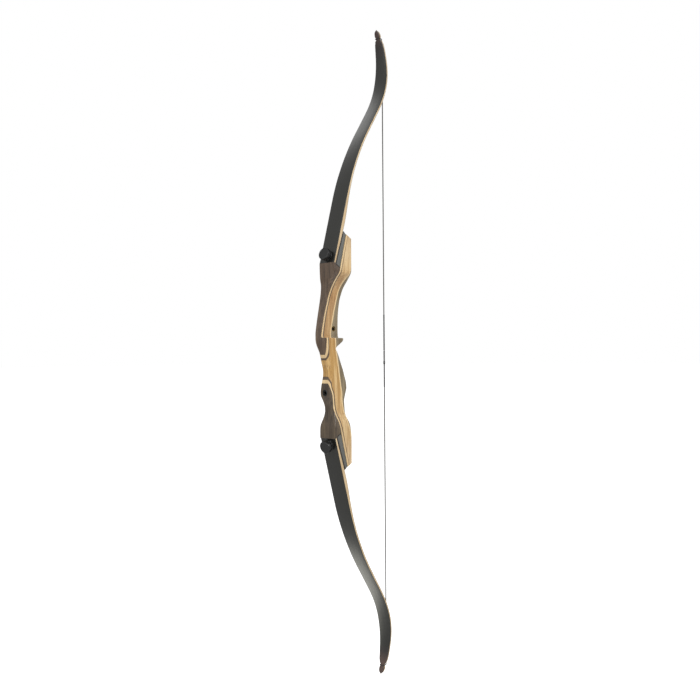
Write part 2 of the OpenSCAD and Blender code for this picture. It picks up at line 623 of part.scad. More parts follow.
// A tube through points, with a ring of sides at each; across is a direction that it never runs along
function unit(v) = v / norm(v);
module cord(p, d, side) {
    n = len(p);
    ways = [for (i = [0:n - 1]) unit(p[min(n - 1, i + 1)] - p[max(0, i - 1)])];
    ring = [for (i = [0:n - 1], k = [0:cord_sides - 1])
        let (u = unit(cross(ways[i], side)), v = cross(ways[i], u), a = 360 * (k + 0.5) / cord_sides)
        p[i] + d / 2 * (cos(a) * u + sin(a) * v)];
    last = (n - 1) * cord_sides;
    polyhedron(ring, [
        each [for (k = [1:cord_sides - 2]) [0, k, k + 1]],
        each [for (i = [0:n - 2], k = [0:cord_sides - 1]) let (m = (k + 1) % cord_sides, b = i * cord_sides)
            [b + m, b + k, b + cord_sides + k]],
        each [for (i = [0:n - 2], k = [0:cord_sides - 1]) let (m = (k + 1) % cord_sides, b = i * cord_sides)
            [b + m, b + cord_sides + k, b + cord_sides + m]],
        each [for (k = [1:cord_sides - 2]) [last, last + k + 1, last + k]]]);
}
function on_belly(x, s, out) = let (q = inside_at(s, limb_thick(s) + out)) [x, q[1], q[0]];

// The string, drawn for its upper half
loop_y = back_at(nock_s)[1] - (loop_d / 2 + shaft_gap) / cos(heading(nock_s)) - shaft_gap;
// The loop turns the overlay's edge in two steps, clear of its corner
loop_turn = 1.2;
loop_step = 0.35;
module loop() color([0.3, 0.32, 0.28]) {
    end_y = nock_point[1] - leg_d / 2 - run_gap;
    half = [[leg_x, end_y], [leg_x, loop_y + loop_turn], [leg_x - loop_step, loop_y + loop_step],
        [leg_x - loop_turn, loop_y]];
    cord([each [for (q = half) [q[0], q[1], nock_point[0]]],
        each backwards([for (q = half) [-q[0], q[1], nock_point[0]]])], loop_d, [0, 0, 1]);
}
module string_end() color([0.3, 0.32, 0.28]) {
    cord([[0, string_y, contact_z + run_gap],
        each [for (s = [contact_s + 9:9:leg_from - 5]) on_belly(0, s, 0)],
        on_belly(0, leg_from, 0)], string_d, [1, 0, 0]);
    clear = leg_d / 2 + run_gap;
    for (side = [-1, 1]) cord([on_belly(side * (leg_d / 2 + 0.05), leg_from, clear),
        on_belly(side * leg_x * 0.45, leg_from + leg_l * 0.4, clear),
        on_belly(side * leg_x * 0.85, nock_s - leg_l * 0.25, clear),
        on_belly(side * leg_x, nock_s - leg_d * 1.1, clear),
        [side * leg_x, nock_point[1], nock_point[0]]], leg_d, [1, 0, 0]);
}
module half_string() color([0.3, 0.32, 0.28])
    translate([0, string_y, middle_l]) cylinder(d = string_d, h = contact_z - middle_l - run_gap);
module string_middle() color([0.2, 0.21, 0.19])
    translate([0, string_y, run_gap / 2]) cylinder(d = serving_d, h = middle_l - run_gap / 2);
module serving() color([0.2, 0.21, 0.19]) translate([0, string_y, middle_l]) difference() {
    cylinder(d = serving_d, h = serving_l - middle_l);
    translate([0, 0, -past]) cylinder(d = string_d, h = serving_l + 2 * past);
}
module serving_knot() color([0.1, 0.1, 0.1])
    translate([0, string_y, knot_z - knot_l / 2]) difference() {
        cylinder(d = knot_d, h = knot_l);
        translate([0, 0, -past]) cylinder(d = serving_d, h = knot_l + 2 * past);
    }

riser_core();
upper_front_block();
lower_front_block();
belly_block();
upper_pale_veneer();
lower_pale_veneer();
belly_pale_veneer();
upper_dark_veneer();
lower_dark_veneer();
limb_pad();  // upper_limb_pad
lower() limb_pad();  // lower_limb_pad
pad_liner();  // upper_pad_liner
lower() pad_liner();  // lower_pad_liner
bolt_insert();  // upper_bolt_insert
lower() bolt_insert();  // lower_bolt_insert
locating_pins();  // upper_locating_pins
lower() locating_pins();  // lower_locating_pins
plunger_bushing();
stabilizer_bushing();
butt_back_glass();  // upper_butt_back_glass
butt_core();  // upper_butt_core
butt_belly_glass();  // upper_butt_belly_glass
lower() butt_back_glass();  // lower_butt_back_glass
lower() butt_core();  // lower_butt_core
lower() butt_belly_glass();  // lower_butt_belly_glass
blade_back_glass();  // upper_blade_back_glass
blade_core();  // upper_blade_core
blade_belly_glass();  // upper_blade_belly_glass
lower() blade_back_glass();  // lower_blade_back_glass
lower() blade_core();  // lower_blade_core
lower() blade_belly_glass();  // lower_blade_belly_glass
recurve_back_glass();  // upper_recurve_back_glass
recurve_core();  // upper_recurve_core
recurve_belly_glass();  // upper_recurve_belly_glass
lower() recurve_back_glass();  // lower_recurve_back_glass
lower() recurve_core();  // lower_recurve_core
lower() recurve_belly_glass();  // lower_recurve_belly_glass
tip_overlay();  // upper_tip_overlay
lower() tip_overlay();  // lower_tip_overlay
washer();  // upper_washer
lower() washer();  // lower_washer
knob();  // upper_knob
lower() knob();  // lower_knob
bolt();  // upper_bolt
lower() bolt();  // lower_bolt
loop();  // upper_loop
lower() loop();  // lower_loop
string_end();  // upper_string_end
lower() string_end();  // lower_string_end
half_string();  // upper_string
lower() half_string();  // lower_string
string_middle();  // upper_string_middle
lower() string_middle();  // lower_string_middle
serving();  // upper_serving
lower() serving();  // lower_serving
serving_knot();
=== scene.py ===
# %% [markdown]
# # A strung recurve bow in Blender
#
# This lesson dresses a takedown recurve bow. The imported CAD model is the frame: it fixes every size,
# every hinge and what moves with what. Here the limbs, the laminated riser, the string and the small
# hardware get smooth meshes and procedural finishes. All sizes below are in millimetres in the CAD's own
# frame: Z runs up the bow, Y from the target to the archer, X towards the sight window.

# %% Load the frame
import math

import bpy
import numpy as np
from mathutils import Matrix


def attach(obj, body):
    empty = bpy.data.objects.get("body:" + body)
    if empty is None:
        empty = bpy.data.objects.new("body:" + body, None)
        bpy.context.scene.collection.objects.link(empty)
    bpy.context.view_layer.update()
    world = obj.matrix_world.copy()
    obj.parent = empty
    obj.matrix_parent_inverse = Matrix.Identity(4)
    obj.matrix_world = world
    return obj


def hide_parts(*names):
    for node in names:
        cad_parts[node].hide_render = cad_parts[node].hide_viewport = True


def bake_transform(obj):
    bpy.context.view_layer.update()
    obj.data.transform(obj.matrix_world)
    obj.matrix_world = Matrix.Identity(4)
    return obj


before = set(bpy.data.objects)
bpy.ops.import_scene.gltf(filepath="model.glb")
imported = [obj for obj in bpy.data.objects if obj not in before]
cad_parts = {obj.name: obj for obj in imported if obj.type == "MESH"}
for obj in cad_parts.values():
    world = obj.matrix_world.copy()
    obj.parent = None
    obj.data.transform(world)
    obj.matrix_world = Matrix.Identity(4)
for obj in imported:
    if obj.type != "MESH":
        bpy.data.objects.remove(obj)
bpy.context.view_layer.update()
MM = 0.001

# %% [markdown]
# A photograph taken from 1.6 m away shows a bow 1.5 m tall in strong perspective, so the camera's place
# matters more than its angle. It stands just below the grip, 40 degrees round from the target side, and
# looks up by half a degree. The bow hangs a little left of the picture's middle. A small roll matches
# the lean of the real string. These numbers were fitted to the edges of both limbs.

# %% Camera
VIEW_AZIMUTH = math.radians(40)
VIEW_DISTANCE = 1600
AIM_RIGHT, AIM_UP = 35.9, -14.9
PITCH, ROLL = math.radians(0.56), math.radians(0.385)
PICTURE = 700
FOCAL_PIXELS = 738.1

view_right = np.array([math.cos(VIEW_AZIMUTH), math.sin(VIEW_AZIMUTH), 0])
view_back = np.array([math.sin(VIEW_AZIMUTH), -math.cos(VIEW_AZIMUTH), 0])


def new_object(name, data):
    obj = bpy.data.objects.new(name, data)
    bpy.context.scene.collection.objects.link(obj)
    return obj


lens = bpy.data.cameras.new("camera")
lens.sensor_width = 36
lens.lens = FOCAL_PIXELS / PICTURE * lens.sensor_width
camera = new_object("camera", lens)
camera.location = (view_back * VIEW_DISTANCE + view_right * AIM_RIGHT + [0, 0, AIM_UP]) * MM
turn = Matrix.Rotation(VIEW_AZIMUTH, 3, "Z") @ Matrix.Rotation(math.radians(90) + PITCH, 3, "X")
camera.rotation_euler = (turn @ Matrix.Rotation(-ROLL, 3, "Z")).to_euler()
bpy.context.scene.camera = camera
bpy.context.scene.view_settings.view_transform = "Standard"

# %% [markdown]
# Every outline in this bow is drawn through a few points, as a bowyer bends a lath round pins.
# A cubic curve joins the points: its slope at each pin is the slope between the two neighbours. The
# CAD source draws with the same rule, so both follow one line.

# %% A smooth line through points
def hermite(t, h, near, far, near_slope, far_slope):
    """A cubic from near to far, at the share t of a step h, with the slopes given for its two ends."""
    return (near * (2 * t**3 - 3 * t**2 + 1) + far * (3 * t**2 - 2 * t**3)
            + h * near_slope * (t**3 - 2 * t**2 + t) + h * far_slope * (t**3 - t**2))


def step_before(place, q):
    """Number of the step between two pins in which q lies."""
    return np.clip(np.searchsorted(place, q, side="right") - 1, 0, len(place) - 2)


def smooth_line(pins):
    """Cubic Hermite curve through (place, value) pins, flat beyond the first and the last."""
    place, value = np.array(pins, float).T
    slope = np.zeros_like(value)
    slope[1:-1] = (value[2:] - value[:-2]) / (place[2:] - place[:-2])

    def at(q):
        q = np.clip(q, place[0], place[-1])
        i = step_before(place, q)
        h = place[i + 1] - place[i]
        return hermite((q - place[i]) / h, h, value[i], value[i + 1], slope[i], slope[i + 1])

    return at


def clamp01(x):
    return np.clip(x, 0, 1)


def smooth_step(x):
    x = clamp01(x)
    return x * x * (3 - 2 * x)


# %% [markdown]
# Nearly every piece of a bow is a section carried along a line: limbs, laminations and strings alike.
# So one helper turns an array of rings (how many rings, points in a ring, xyz) into a closed mesh.
# Sharp edges are marked by angle, so flats stay flat and rounds stay smooth.

# %% Rings to mesh
def new_piece(name, points, faces, sharp=35):
    mesh = bpy.data.meshes.new(name)
    mesh.from_pydata(np.asarray(points) * MM, [], faces)
    mesh.shade_smooth()
    mesh.set_sharp_from_angle(angle=math.radians(sharp))
    mesh.update()
    return new_object(name, mesh)


def loft(name, rings, sharp=35, looped=False):
    """Quads between neighbouring rings. Flat caps close the ends, or the last ring meets the first."""
    rings = np.asarray(rings, float)
    n, m = rings.shape[:2]
    i, k = np.meshgrid(np.arange(n if looped else n - 1), np.arange(m), indexing="ij")
    k_next, i_next = (k + 1) % m, (i + 1) % n
    quads = np.stack([i * m + k, i * m + k_next, i_next * m + k_next, i_next * m + k], -1).reshape(-1, 4)
    caps = [] if looped else [np.arange(m)[::-1], np.arange(m) + (n - 1) * m]
    points = rings.reshape(-1, 3)
    # Faces must look outward: the signed volume under all the quads tells which way they look now
    a, b, c, d = (points[quads[:, corner]] for corner in range(4))
    volume = np.einsum("ij,ij->i", np.cross(c - a, d - b), (a + b + c + d) / 4).sum()
    for cap in caps:
        middle = points[cap].mean(0)
        ring = points[cap] - middle
        volume += np.einsum("ij,j->i", np.cross(ring, np.roll(ring, -1, 0)), middle).sum()
    if volume < 0:
        quads = quads[:, ::-1]
        caps = [cap[::-1] for cap in caps]
    return new_piece(name, points, quads.tolist() + [cap.tolist() for cap in caps], sharp)


SIDES = (("upper", 1), ("lower", -1))


def on_side(side, points):
    """The lower limb (side -1) is the upper one (side 1) in a mirror lying across the grip."""
    return points * [1, 1, side]


# %% [markdown]
# ## Limbs
#
# A limb leaves the riser leaning 16.5 degrees towards the string, bends further over its working part
# and then turns back in the recurve. Adding up that heading step by step gives the line of its back.
# Everything else hangs on that line: a place on the limb is a distance along it and a depth under it.

# %% The limb's line
BUTT_Z, BUTT_Y = 188, -20
LIMB_LEAN, LIMB_BEND, LIMB_RECURVE = 16.5, 17.7, 56.5
LIMB_LENGTH = 609
BEND_FROM, BEND_TO = 152, 335
TURN_FROM, TURN_TO = LIMB_LENGTH - 224, LIMB_LENGTH + 11
NOCK_S = LIMB_LENGTH - 19
OVERLAY_T, OVERLAY_L = 2.6, 42
LINE_STEP = 0.5


def heading(s):
    bend = LIMB_BEND * clamp01((s - BEND_FROM) / (BEND_TO - BEND_FROM))
    turn = LIMB_RECURVE * smooth_step((s - TURN_FROM) / (TURN_TO - TURN_FROM))
    return np.radians(LIMB_LEAN + bend - turn)


line_s = np.arange(0, LIMB_LENGTH + 6, LINE_STEP)
middle_heading = heading(line_s[:-1] + LINE_STEP / 2)
line_z = BUTT_Z + LINE_STEP * np.concatenate([[0], np.cumsum(np.cos(middle_heading))])
line_y = BUTT_Y + LINE_STEP * np.concatenate([[0], np.cumsum(np.sin(middle_heading))])

thickness_line = smooth_line([
    (0, 5.6), (50, 7.9), (97, 9.8), (144, 7.8), (190, 5.8), (225, 5.2), (330, 5), (430, 4.6), (500, 4.2),
    (620, 4.2)])


def overlay_thick(s):
    return OVERLAY_T * clamp01((s - NOCK_S + OVERLAY_L) / OVERLAY_L)


def belly_depth(s):
    """The whole thickness, from the overlay's top to the belly."""
    return overlay_thick(s) + thickness_line(s)


def limb_point(s, depth):
    """The point at distance s along the back and a depth under the overlay's top, as (y, z)."""
    a = heading(s)
    return (np.interp(s, line_s, line_y) + depth * np.cos(a),
            np.interp(s, line_s, line_z) - depth * np.sin(a))


print("tip of the limb at z", line_z[int(LIMB_LENGTH / LINE_STEP)])

# %% [markdown]
# Seen from the front a limb is a long taper. The last few centimetres narrow to the shoulders, and two
# round notches hold the string under a blunt point. The width belongs to a height, not to a depth, so
# that the notches run level through the tip.

# %% The limb's width
LIMB_W, RECURVE_W, TIP_W, NOCK_W = 41.6, 35.5, 16.5, 9
POINT_L, FLARE_L = 24, 132
# taper goes by the distance from the butt, flare and the point's outline by the distance from the tip
taper = smooth_line([
    (0, 1), (158, 1), (196, 0.87), (225, 0.66), (257, 0.47), (290, 0.24), (331, 0.08), (367, 0)])
flare = smooth_line([
    (POINT_L, 0), (27, 0.06), (32, 0.24), (47, 0.447), (74, 0.71), (102, 0.905), (FLARE_L, 1)])
point_outline = smooth_line([
    (0, 0.5), (1, 2.2), (3, 3.9), (6, 5.4), (10, 6.3), (13.5, 6.5), (15.3, 5.9), (16.6, 5), (18, 4.5),
    (20.4, 4.5), (21.8, 5.0), (22.9, 6.4), (POINT_L, TIP_W / 2)])


def half_width(s):
    back = LIMB_LENGTH - s
    body = (RECURVE_W + (LIMB_W - RECURVE_W) * taper(s)) / 2
    tip = (TIP_W + (RECURVE_W - TIP_W) * flare(back)) / 2
    return np.where(back < POINT_L, point_outline(back), np.where(back < FLARE_L, tip, body))


def half_width_at(z):
    return half_width(np.interp(z, line_z, line_s))


# %% [markdown]
# A limb is a sandwich: black glass on the back, a pale maple core, black glass on the belly, and a
# brown overlay at the tip. Each layer is a rounded rectangle carried along the limb. The string groove
# is pressed into the belly of the recurve, and the very tip is rounded in side view as well.

# %% One layer of a limb
BACK_GLASS_T, BELLY_GLASS_T = 1.0, 0.8
GROOVE_DEPTH, GROOVE_W = 1.6, 3.5
GROOVE_FROM, GROOVE_TO = LIMB_LENGTH - 130, LIMB_LENGTH - 22
GROOVE_RUN_IN, GROOVE_RUN_OUT = 25, 6
ROOT_HINGE_S, BLADE_HINGE_S = 140, 280
SPLIT_S = (ROOT_HINGE_S + BLADE_HINGE_S) / 2
LONG_STEP, FINE_STEP, FINE_FROM = 4.0, 0.7, 560
TIP_ROUND, TIP_ROUND_REACH = 7, 7.02
CORNER_POINTS = 5


def groove(s):
    ends = smooth_step((s - GROOVE_FROM) / GROOVE_RUN_IN) * smooth_step((GROOVE_TO - s) / GROOVE_RUN_OUT)
    return GROOVE_DEPTH * ends


def limb_places(start, end):
    long_part = np.arange(start, min(end, FINE_FROM), LONG_STEP)
    tip_part = np.arange(FINE_FROM, LIMB_LENGTH, FINE_STEP) if end > FINE_FROM else []
    return np.concatenate([long_part, tip_part, [end]])


def limb_layer(start, end, top, bottom, top_round, bottom_round, grooved_top, grooved_bottom):
    """Rings of a layer between two depths; top and bottom are functions of the place s."""
    places = limb_places(start, end)
    rounding = np.sqrt(1 - clamp01((places - LIMB_LENGTH + TIP_ROUND) / TIP_ROUND_REACH) ** 2)
    # Half a section: across the back from the middle, round two corners, and back along the belly
    angle = np.linspace(0, math.pi / 2, CORNER_POINTS)
    out, dip = 1 - np.sin(angle), 1 - np.cos(angle)
    flat_x, flat_dip = GROOVE_W * np.array([0, 0.36, 0.5, 0.62]), np.array([1, 0.9, 0.3, 0])
    on_corner = np.repeat([False, True, False], [len(flat_x), 2 * CORNER_POINTS, len(flat_x)])
    x_fixed = np.concatenate([flat_x, np.zeros(2 * CORNER_POINTS), flat_x[::-1]])
    rings = []
    for s, shrink in zip(places, rounding):
        a, b = top(s), bottom(s)
        r0, r1 = (min(radius, (b - a) * 0.48) for radius in (top_round, bottom_round))
        cut = groove(s) * flat_dip
        inset = np.concatenate([flat_x * 0, r0 * out, r1 * out[::-1], flat_x * 0])
        depth = np.concatenate([a - cut * grooved_top, a + r0 * dip, b - r1 * dip[::-1],
                                (b - cut * grooved_bottom)[::-1]])
        middle = belly_depth(s) / 2
        y, z = limb_point(s, middle + (depth - middle) * shrink)
        wide = half_width_at(z)
        x = np.where(on_corner, wide - inset, np.minimum(x_fixed, wide * 0.5))
        half = np.stack([x, y, z], -1)
        rings.append(np.concatenate([half, half[-2:0:-1] * [-1, 1, 1]]))
    return np.array(rings)


# %% [markdown]
# The real limb bends in one sweep. The frame has two hinges for it, so each layer is made in two lengths that
# meet half way between the hinges. At the meeting both lengths have the same section, so no gap opens there.

# %% Build both limbs
def core_top(s):
    return overlay_thick(s) + BACK_GLASS_T


def core_bottom(s):
    return belly_depth(s) - BELLY_GLASS_T


CRISP, SOFT = 0.02, 0.5
layers = {
    "back_glass": (overlay_thick, core_top, SOFT, CRISP, 0, 0),
    "core": (core_top, core_bottom, CRISP, CRISP, 0, 1),
    "belly_glass": (core_bottom, belly_depth, CRISP, SOFT, 1, 1),
}
pieces = {}


def limb_way(s, side):
    """The limb's direction at s, towards its tip."""
    return np.array([0, math.sin(heading(s)), side * math.cos(heading(s))])


def bend_across(obj, s, side):
    """Bake the piece's placement into its mesh; the hinge point at s is worked out but not used."""
    middle = on_side(side, np.array([0, *limb_point(s, thickness_line(s))]))
    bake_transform(obj)


for side_name, side in SIDES:
    for layer_name, layer in layers.items():
        for part, start, end in (("root", 0, SPLIT_S), ("blade", SPLIT_S, LIMB_LENGTH)):
            name = f"{side_name}_limb_{part}_{layer_name}"
            pieces[name] = obj = loft(name, on_side(side, limb_layer(start, end, *layer)))
            if part == "root":
                bend_across(obj, ROOT_HINGE_S, side)
                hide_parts(f"{side_name}_butt_{layer_name}")
            else:
                bend_across(obj, BLADE_HINGE_S, side)
                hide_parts(f"{side_name}_blade_{layer_name}", f"{side_name}_recurve_{layer_name}")
    rings = limb_layer(NOCK_S - OVERLAY_L + 1, LIMB_LENGTH, lambda s: 0 * s, overlay_thick, 1.2, CRISP, 0, 0)
    name = side_name + "_tip_plate"
    pieces[name] = loft(name, on_side(side, rings))
    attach(pieces[name], side_name + "_tip")
    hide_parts(side_name + "_tip_overlay")
print("limb pieces", len(pieces))

# %% [markdown]
# ## Riser
#
# The riser is one outline cut from a stack of curved wooden layers. In side view two lines bound it, the
# front and the belly; from the front it widens from the grip to the limb pockets. Above the arrow shelf
# the right side is cut back past the bow's middle, and that is the sight window.

# %% The riser's outlines
GRIP_W, RISER_W, WINDOW_X, SHELF_Z = 27, 44, -1, 27
POCKET_FRONT = BUTT_Y - 1
UPPER_BELLY, LOWER_BELLY = 38, 35
POCKET_Y, POCKET_SLOPE = 2.5, math.tan(math.radians(15.4))
WOOD_END_Z, WOOD_END_DROP = BUTT_Z + 64, 9

front_line = smooth_line([
    (-210, POCKET_FRONT - 1), (-188, POCKET_FRONT - 1), (-168, POCKET_FRONT - 1), (-148, POCKET_FRONT + 0.6),
    (-134, -19.3), (-125, -20), (-116, -21.5), (-107, -24.5), (-99, -28), (-90, -28.6), (-77, -29),
    (-64, -27.5), (-56, -26), (-47, -25.5), (-38, -27), (-30, -29.5), (-17, -33), (-6, -36), (4, -37.8),
    (13, -38.6), (22, -39), (30, -38), (39, -36.7), (56, -33.5), (73, -30), (91, -26), (108, -22.5),
    (125, -19.5), (142, -18.5), (160, POCKET_FRONT + 1), (188, POCKET_FRONT), (210, POCKET_FRONT)])
belly_line = smooth_line([
    (-270, LOWER_BELLY), (-190, LOWER_BELLY), (-179, LOWER_BELLY - 1), (-170, LOWER_BELLY - 2.5),
    (-161, LOWER_BELLY - 4), (-153, 28.6), (-144, 25.4), (-135, 24.8), (-126, 24.6), (-118, 24),
    (-109, 23.6), (-100, 26.6), (-92, 30.3), (-83, 34.2), (-74, 34), (-65, 32), (-57, 29), (-48, 26),
    (-39, 22.5), (-31, 18.5), (-22, 14), (-13, 10), (-4, 5), (4, 0.2), (8, 3.5), (15, 13.5), (19, 18.4),
    (22.5, 20.4), (27, 19.4), (33, 17.8), (42, 17), (70, 17.4), (82, 18.4), (91, 19.6), (100, 21.3),
    (108, 23), (117, 25.3), (126, 28), (134, 30), (143, 32.7), (152, 35.6), (165, UPPER_BELLY - 1),
    (178, UPPER_BELLY), (270, UPPER_BELLY)])
# Half widths, as shares of the way from the grip's width, or from the window's face, to the riser's
right_spread = smooth_line([
    (-270, 1), (-167, 1), (-160, 0.93), (-152, 0.74), (-145, 0.46), (-138, 0.2), (-130, 0.02), (-122, 0),
    (40, 0)])
left_spread = smooth_line([
    (-270, 1), (-172, 1), (-164, 0.95), (-156, 0.72), (-149, 0.44), (-142, 0.18), (-133, 0.02), (-125, 0),
    (-10, 0), (-4, 0.06), (4, 0.4), (12, 0.76), (20, 0.88), (140, 0.88), (152, 1), (270, 1)])
window_spread = smooth_line([
    (20, 0), (108, 0), (118, 0.04), (126, 0.09), (134, 0.17), (142, 0.31), (150, 0.48), (157, 0.66),
    (163, 0.84), (168, 0.95), (174, 1), (270, 1)])
# Bevels in millimetres
front_bevel = smooth_line([
    (-270, 2), (-162, 2), (-150, 3.6), (-138, 5), (-123, 6), (-104, 3), (-91, 1.2), (-78, 3.4), (-58, 6),
    (10, 6), (26, 4), (40, 2.4), (140, 2.4), (160, 2), (270, 2)])
belly_bevel = smooth_line([
    (-270, 2), (-165, 2), (-140, 4), (-110, 4.4), (-80, 7), (8, 7), (24, 3), (40, 1.6), (130, 1.6),
    (165, 2), (270, 2)])

# %% [markdown]
# The layers meet along seams: two front blocks, then a pale and a dark veneer, the tan core, and on the
# belly side another pale veneer and the block of the grip. Past the pockets the front seams run along
# the pocket's floor. A veneer keeps its thickness where it leans, so in depth it measures a little more.

# %% The seams between the layers
PALE_T, UPPER_DARK_T, LOWER_DARK_T = 3.6, 2.8, 3
POCKET_START = 170


def pocket_floor(z):
    return POCKET_Y + POCKET_SLOPE * (np.abs(z) - BUTT_Z)


upper_line = smooth_line([
    (-40, -46), (-24, -39.8), (-17, -37), (-10, -35.1), (0, -34.8), (8, -34.8), (24, -35.4), (32, -36),
    (40, -35), (51, -33), (62, -30.6), (73, -28), (82, -25.6), (90, -23.2), (97, -20.8), (105, -18),
    (112, -16.2), (120, -14.2), (130, -11), (141, -8.6), (152, -6.6), (162, -4.4), (170, -2.4),
    (178, pocket_floor(178))])
lower_line = smooth_line([
    (-178, pocket_floor(178)), (-170, -2.6), (-161, -5), (-152, -7.5), (-145, -9.7), (-138, -11.7),
    (-131, -13.6), (-123, -15.6), (-115, -17), (-104, -18.4), (-97, -19.2), (-91, -21), (-84, -24.6),
    (-77, -27), (-70, -28.5), (-63, -31), (-55, -33), (-40, -36), (-30, -38)])
belly_seam = smooth_line([
    (-240, LOWER_BELLY + 30), (-200, LOWER_BELLY + 8), (-190, LOWER_BELLY + 1), (-181, LOWER_BELLY - 2.5),
    (-170, 29), (-159, 25), (-150, 22.8), (-140, 21), (-126, 17.2), (-115, 14.4), (-104, 13), (-93, 13),
    (-85, 11.6), (-76, 9.4), (-62, 7), (-51, 4.8), (-40, 3.2), (-27, 0.6), (-13, -2.4), (0, -4.6), (8, -5.6),
    (24, -6.6), (38, -6.3), (48, -4.8), (57, -2.4), (66, 0.2), (76, 2.8), (82, 4), (90, 6.5), (97, 8.8),
    (104, 11), (112, 13.4), (119, 14.8), (126, 16.2), (133, 18), (140, 20), (148, 22.8), (156, 27),
    (167, 32.2), (180, UPPER_BELLY - 2.5), (190, UPPER_BELLY - 0.6), (200, UPPER_BELLY + 2.2),
    (215, UPPER_BELLY + 7), (240, UPPER_BELLY + 16)])


def upper_seam(z):
    return np.where(z >= POCKET_START, pocket_floor(z), upper_line(z))


def lower_seam(z):
    return np.where(z <= -POCKET_START, pocket_floor(z), lower_line(z))


def offset_seam(seam, distance):
    """A seam moved into the wood by a distance measured square to it."""
    return lambda z: seam(z) + distance * np.sqrt(1 + ((seam(z + 1) - seam(z - 1)) / 2) ** 2)


upper_pale, upper_dark = offset_seam(upper_seam, PALE_T), offset_seam(upper_seam, PALE_T + UPPER_DARK_T)
lower_pale, lower_dark = offset_seam(lower_seam, PALE_T), offset_seam(lower_seam, PALE_T + LOWER_DARK_T)
belly_pale = offset_seam(belly_seam, -PALE_T)
GRIP_MIDDLE_Z = -39


def core_front(z):
    return np.where(z > GRIP_MIDDLE_Z, upper_dark(z), lower_dark(z))


# %% [markdown]
# A bowyer rasps the front corners to a crisp slant and rolls the belly corners for the hand. Both are
# taken off the half width, by how far a point lies from the front or from the belly. The shelf's outer
# edge is rolled over, and a hollow runs from the shelf up into the window.

# %% The side of the riser
SHELF_ROUND, WINDOW_HOLLOW, SLANT_SOFT = 2.0, 3.2, 0.35
BEVEL_PER_RADIUS = 0.586


def soft_positive(x, soft):
    return (x + np.sqrt(x * x + soft * soft)) / 2


def arc_drop(radius, into):
    """How far a quarter circle has dropped at a share of its radius, kept just short of upright."""
    return radius * (1 - np.sqrt(1 - into**2 * 0.999))


def belly_round(z):
    """Radius whose arc takes as much off a corner as the plain bevel."""
    return belly_bevel(z) / BEVEL_PER_RADIUS


def corner_cut(y, z):
    slant = soft_positive(front_bevel(z) - (y - front_line(z)), SLANT_SOFT)
    radius = belly_round(z)
    return slant + arc_drop(radius, clamp01((radius - (belly_line(z) - y)) / radius))


def spread_width(spread, z):
    """Half width between the grip's and the riser's."""
    return GRIP_W / 2 + (RISER_W - GRIP_W) / 2 * clamp01(spread(z))


def right_edge(z, above):
    """Half width on the right, below the shelf or above it."""
    near_shelf = clamp01((z - (SHELF_Z - SHELF_ROUND)) / SHELF_ROUND)
    low = spread_width(right_spread, z) - arc_drop(SHELF_ROUND, near_shelf)
    near_shelf = clamp01((SHELF_Z + WINDOW_HOLLOW - z) / WINDOW_HOLLOW)
    high = WINDOW_X + (RISER_W / 2 - WINDOW_X) * clamp01(window_spread(z))
    return np.where(above, high + arc_drop(WINDOW_HOLLOW, near_shelf), low)


def left_edge(z):
    return spread_width(left_spread, z)


# %% [markdown]
# The wood ends on slopes: the front blocks on the limb's butt and on the pad, the rest on a slope that
# carries on the pad's tip. So the last rings of a layer lean: each of their points climbs to its own
# height on the end line. All layers share this rule, and so they stay flush with one another.

# %% Where the wood ends
LEAN_FROM_BLOCK, LEAN_FROM_END = 170, 236
LINER_T = 3.2
PAD_END_ANGLE = math.radians(28)
PAD_END_SLOPE = math.tan(PAD_END_ANGLE)
liner_corner_y, belly_corner_z = limb_point(0, thickness_line(0))
liner_corner_z = belly_corner_z - LINER_T


def block_end(y):
    """Height of a front block's end: along the limb's butt face, then down the end of the pad."""
    on_butt = BUTT_Z - (y - BUTT_Y) * math.tan(heading(0))
    on_pad = liner_corner_z - (y - liner_corner_y) * PAD_END_SLOPE
    return np.where(y < liner_corner_y, on_butt, on_pad)


def wood_end(y):
    floor_y = pocket_floor(WOOD_END_Z)
    return WOOD_END_Z - WOOD_END_DROP * (y - floor_y) / (UPPER_BELLY - floor_y)


# Where a side's points lie: 0 to 1 over the front bevel, to 2 over the flat, to 3 round the belly corner
SIDE_PART = np.concatenate([np.linspace(0, 1, 10), 1 + np.linspace(0, 1, 14)[1:],
                            2 + np.sin(np.linspace(0, math.pi / 2, 14))[1:]])


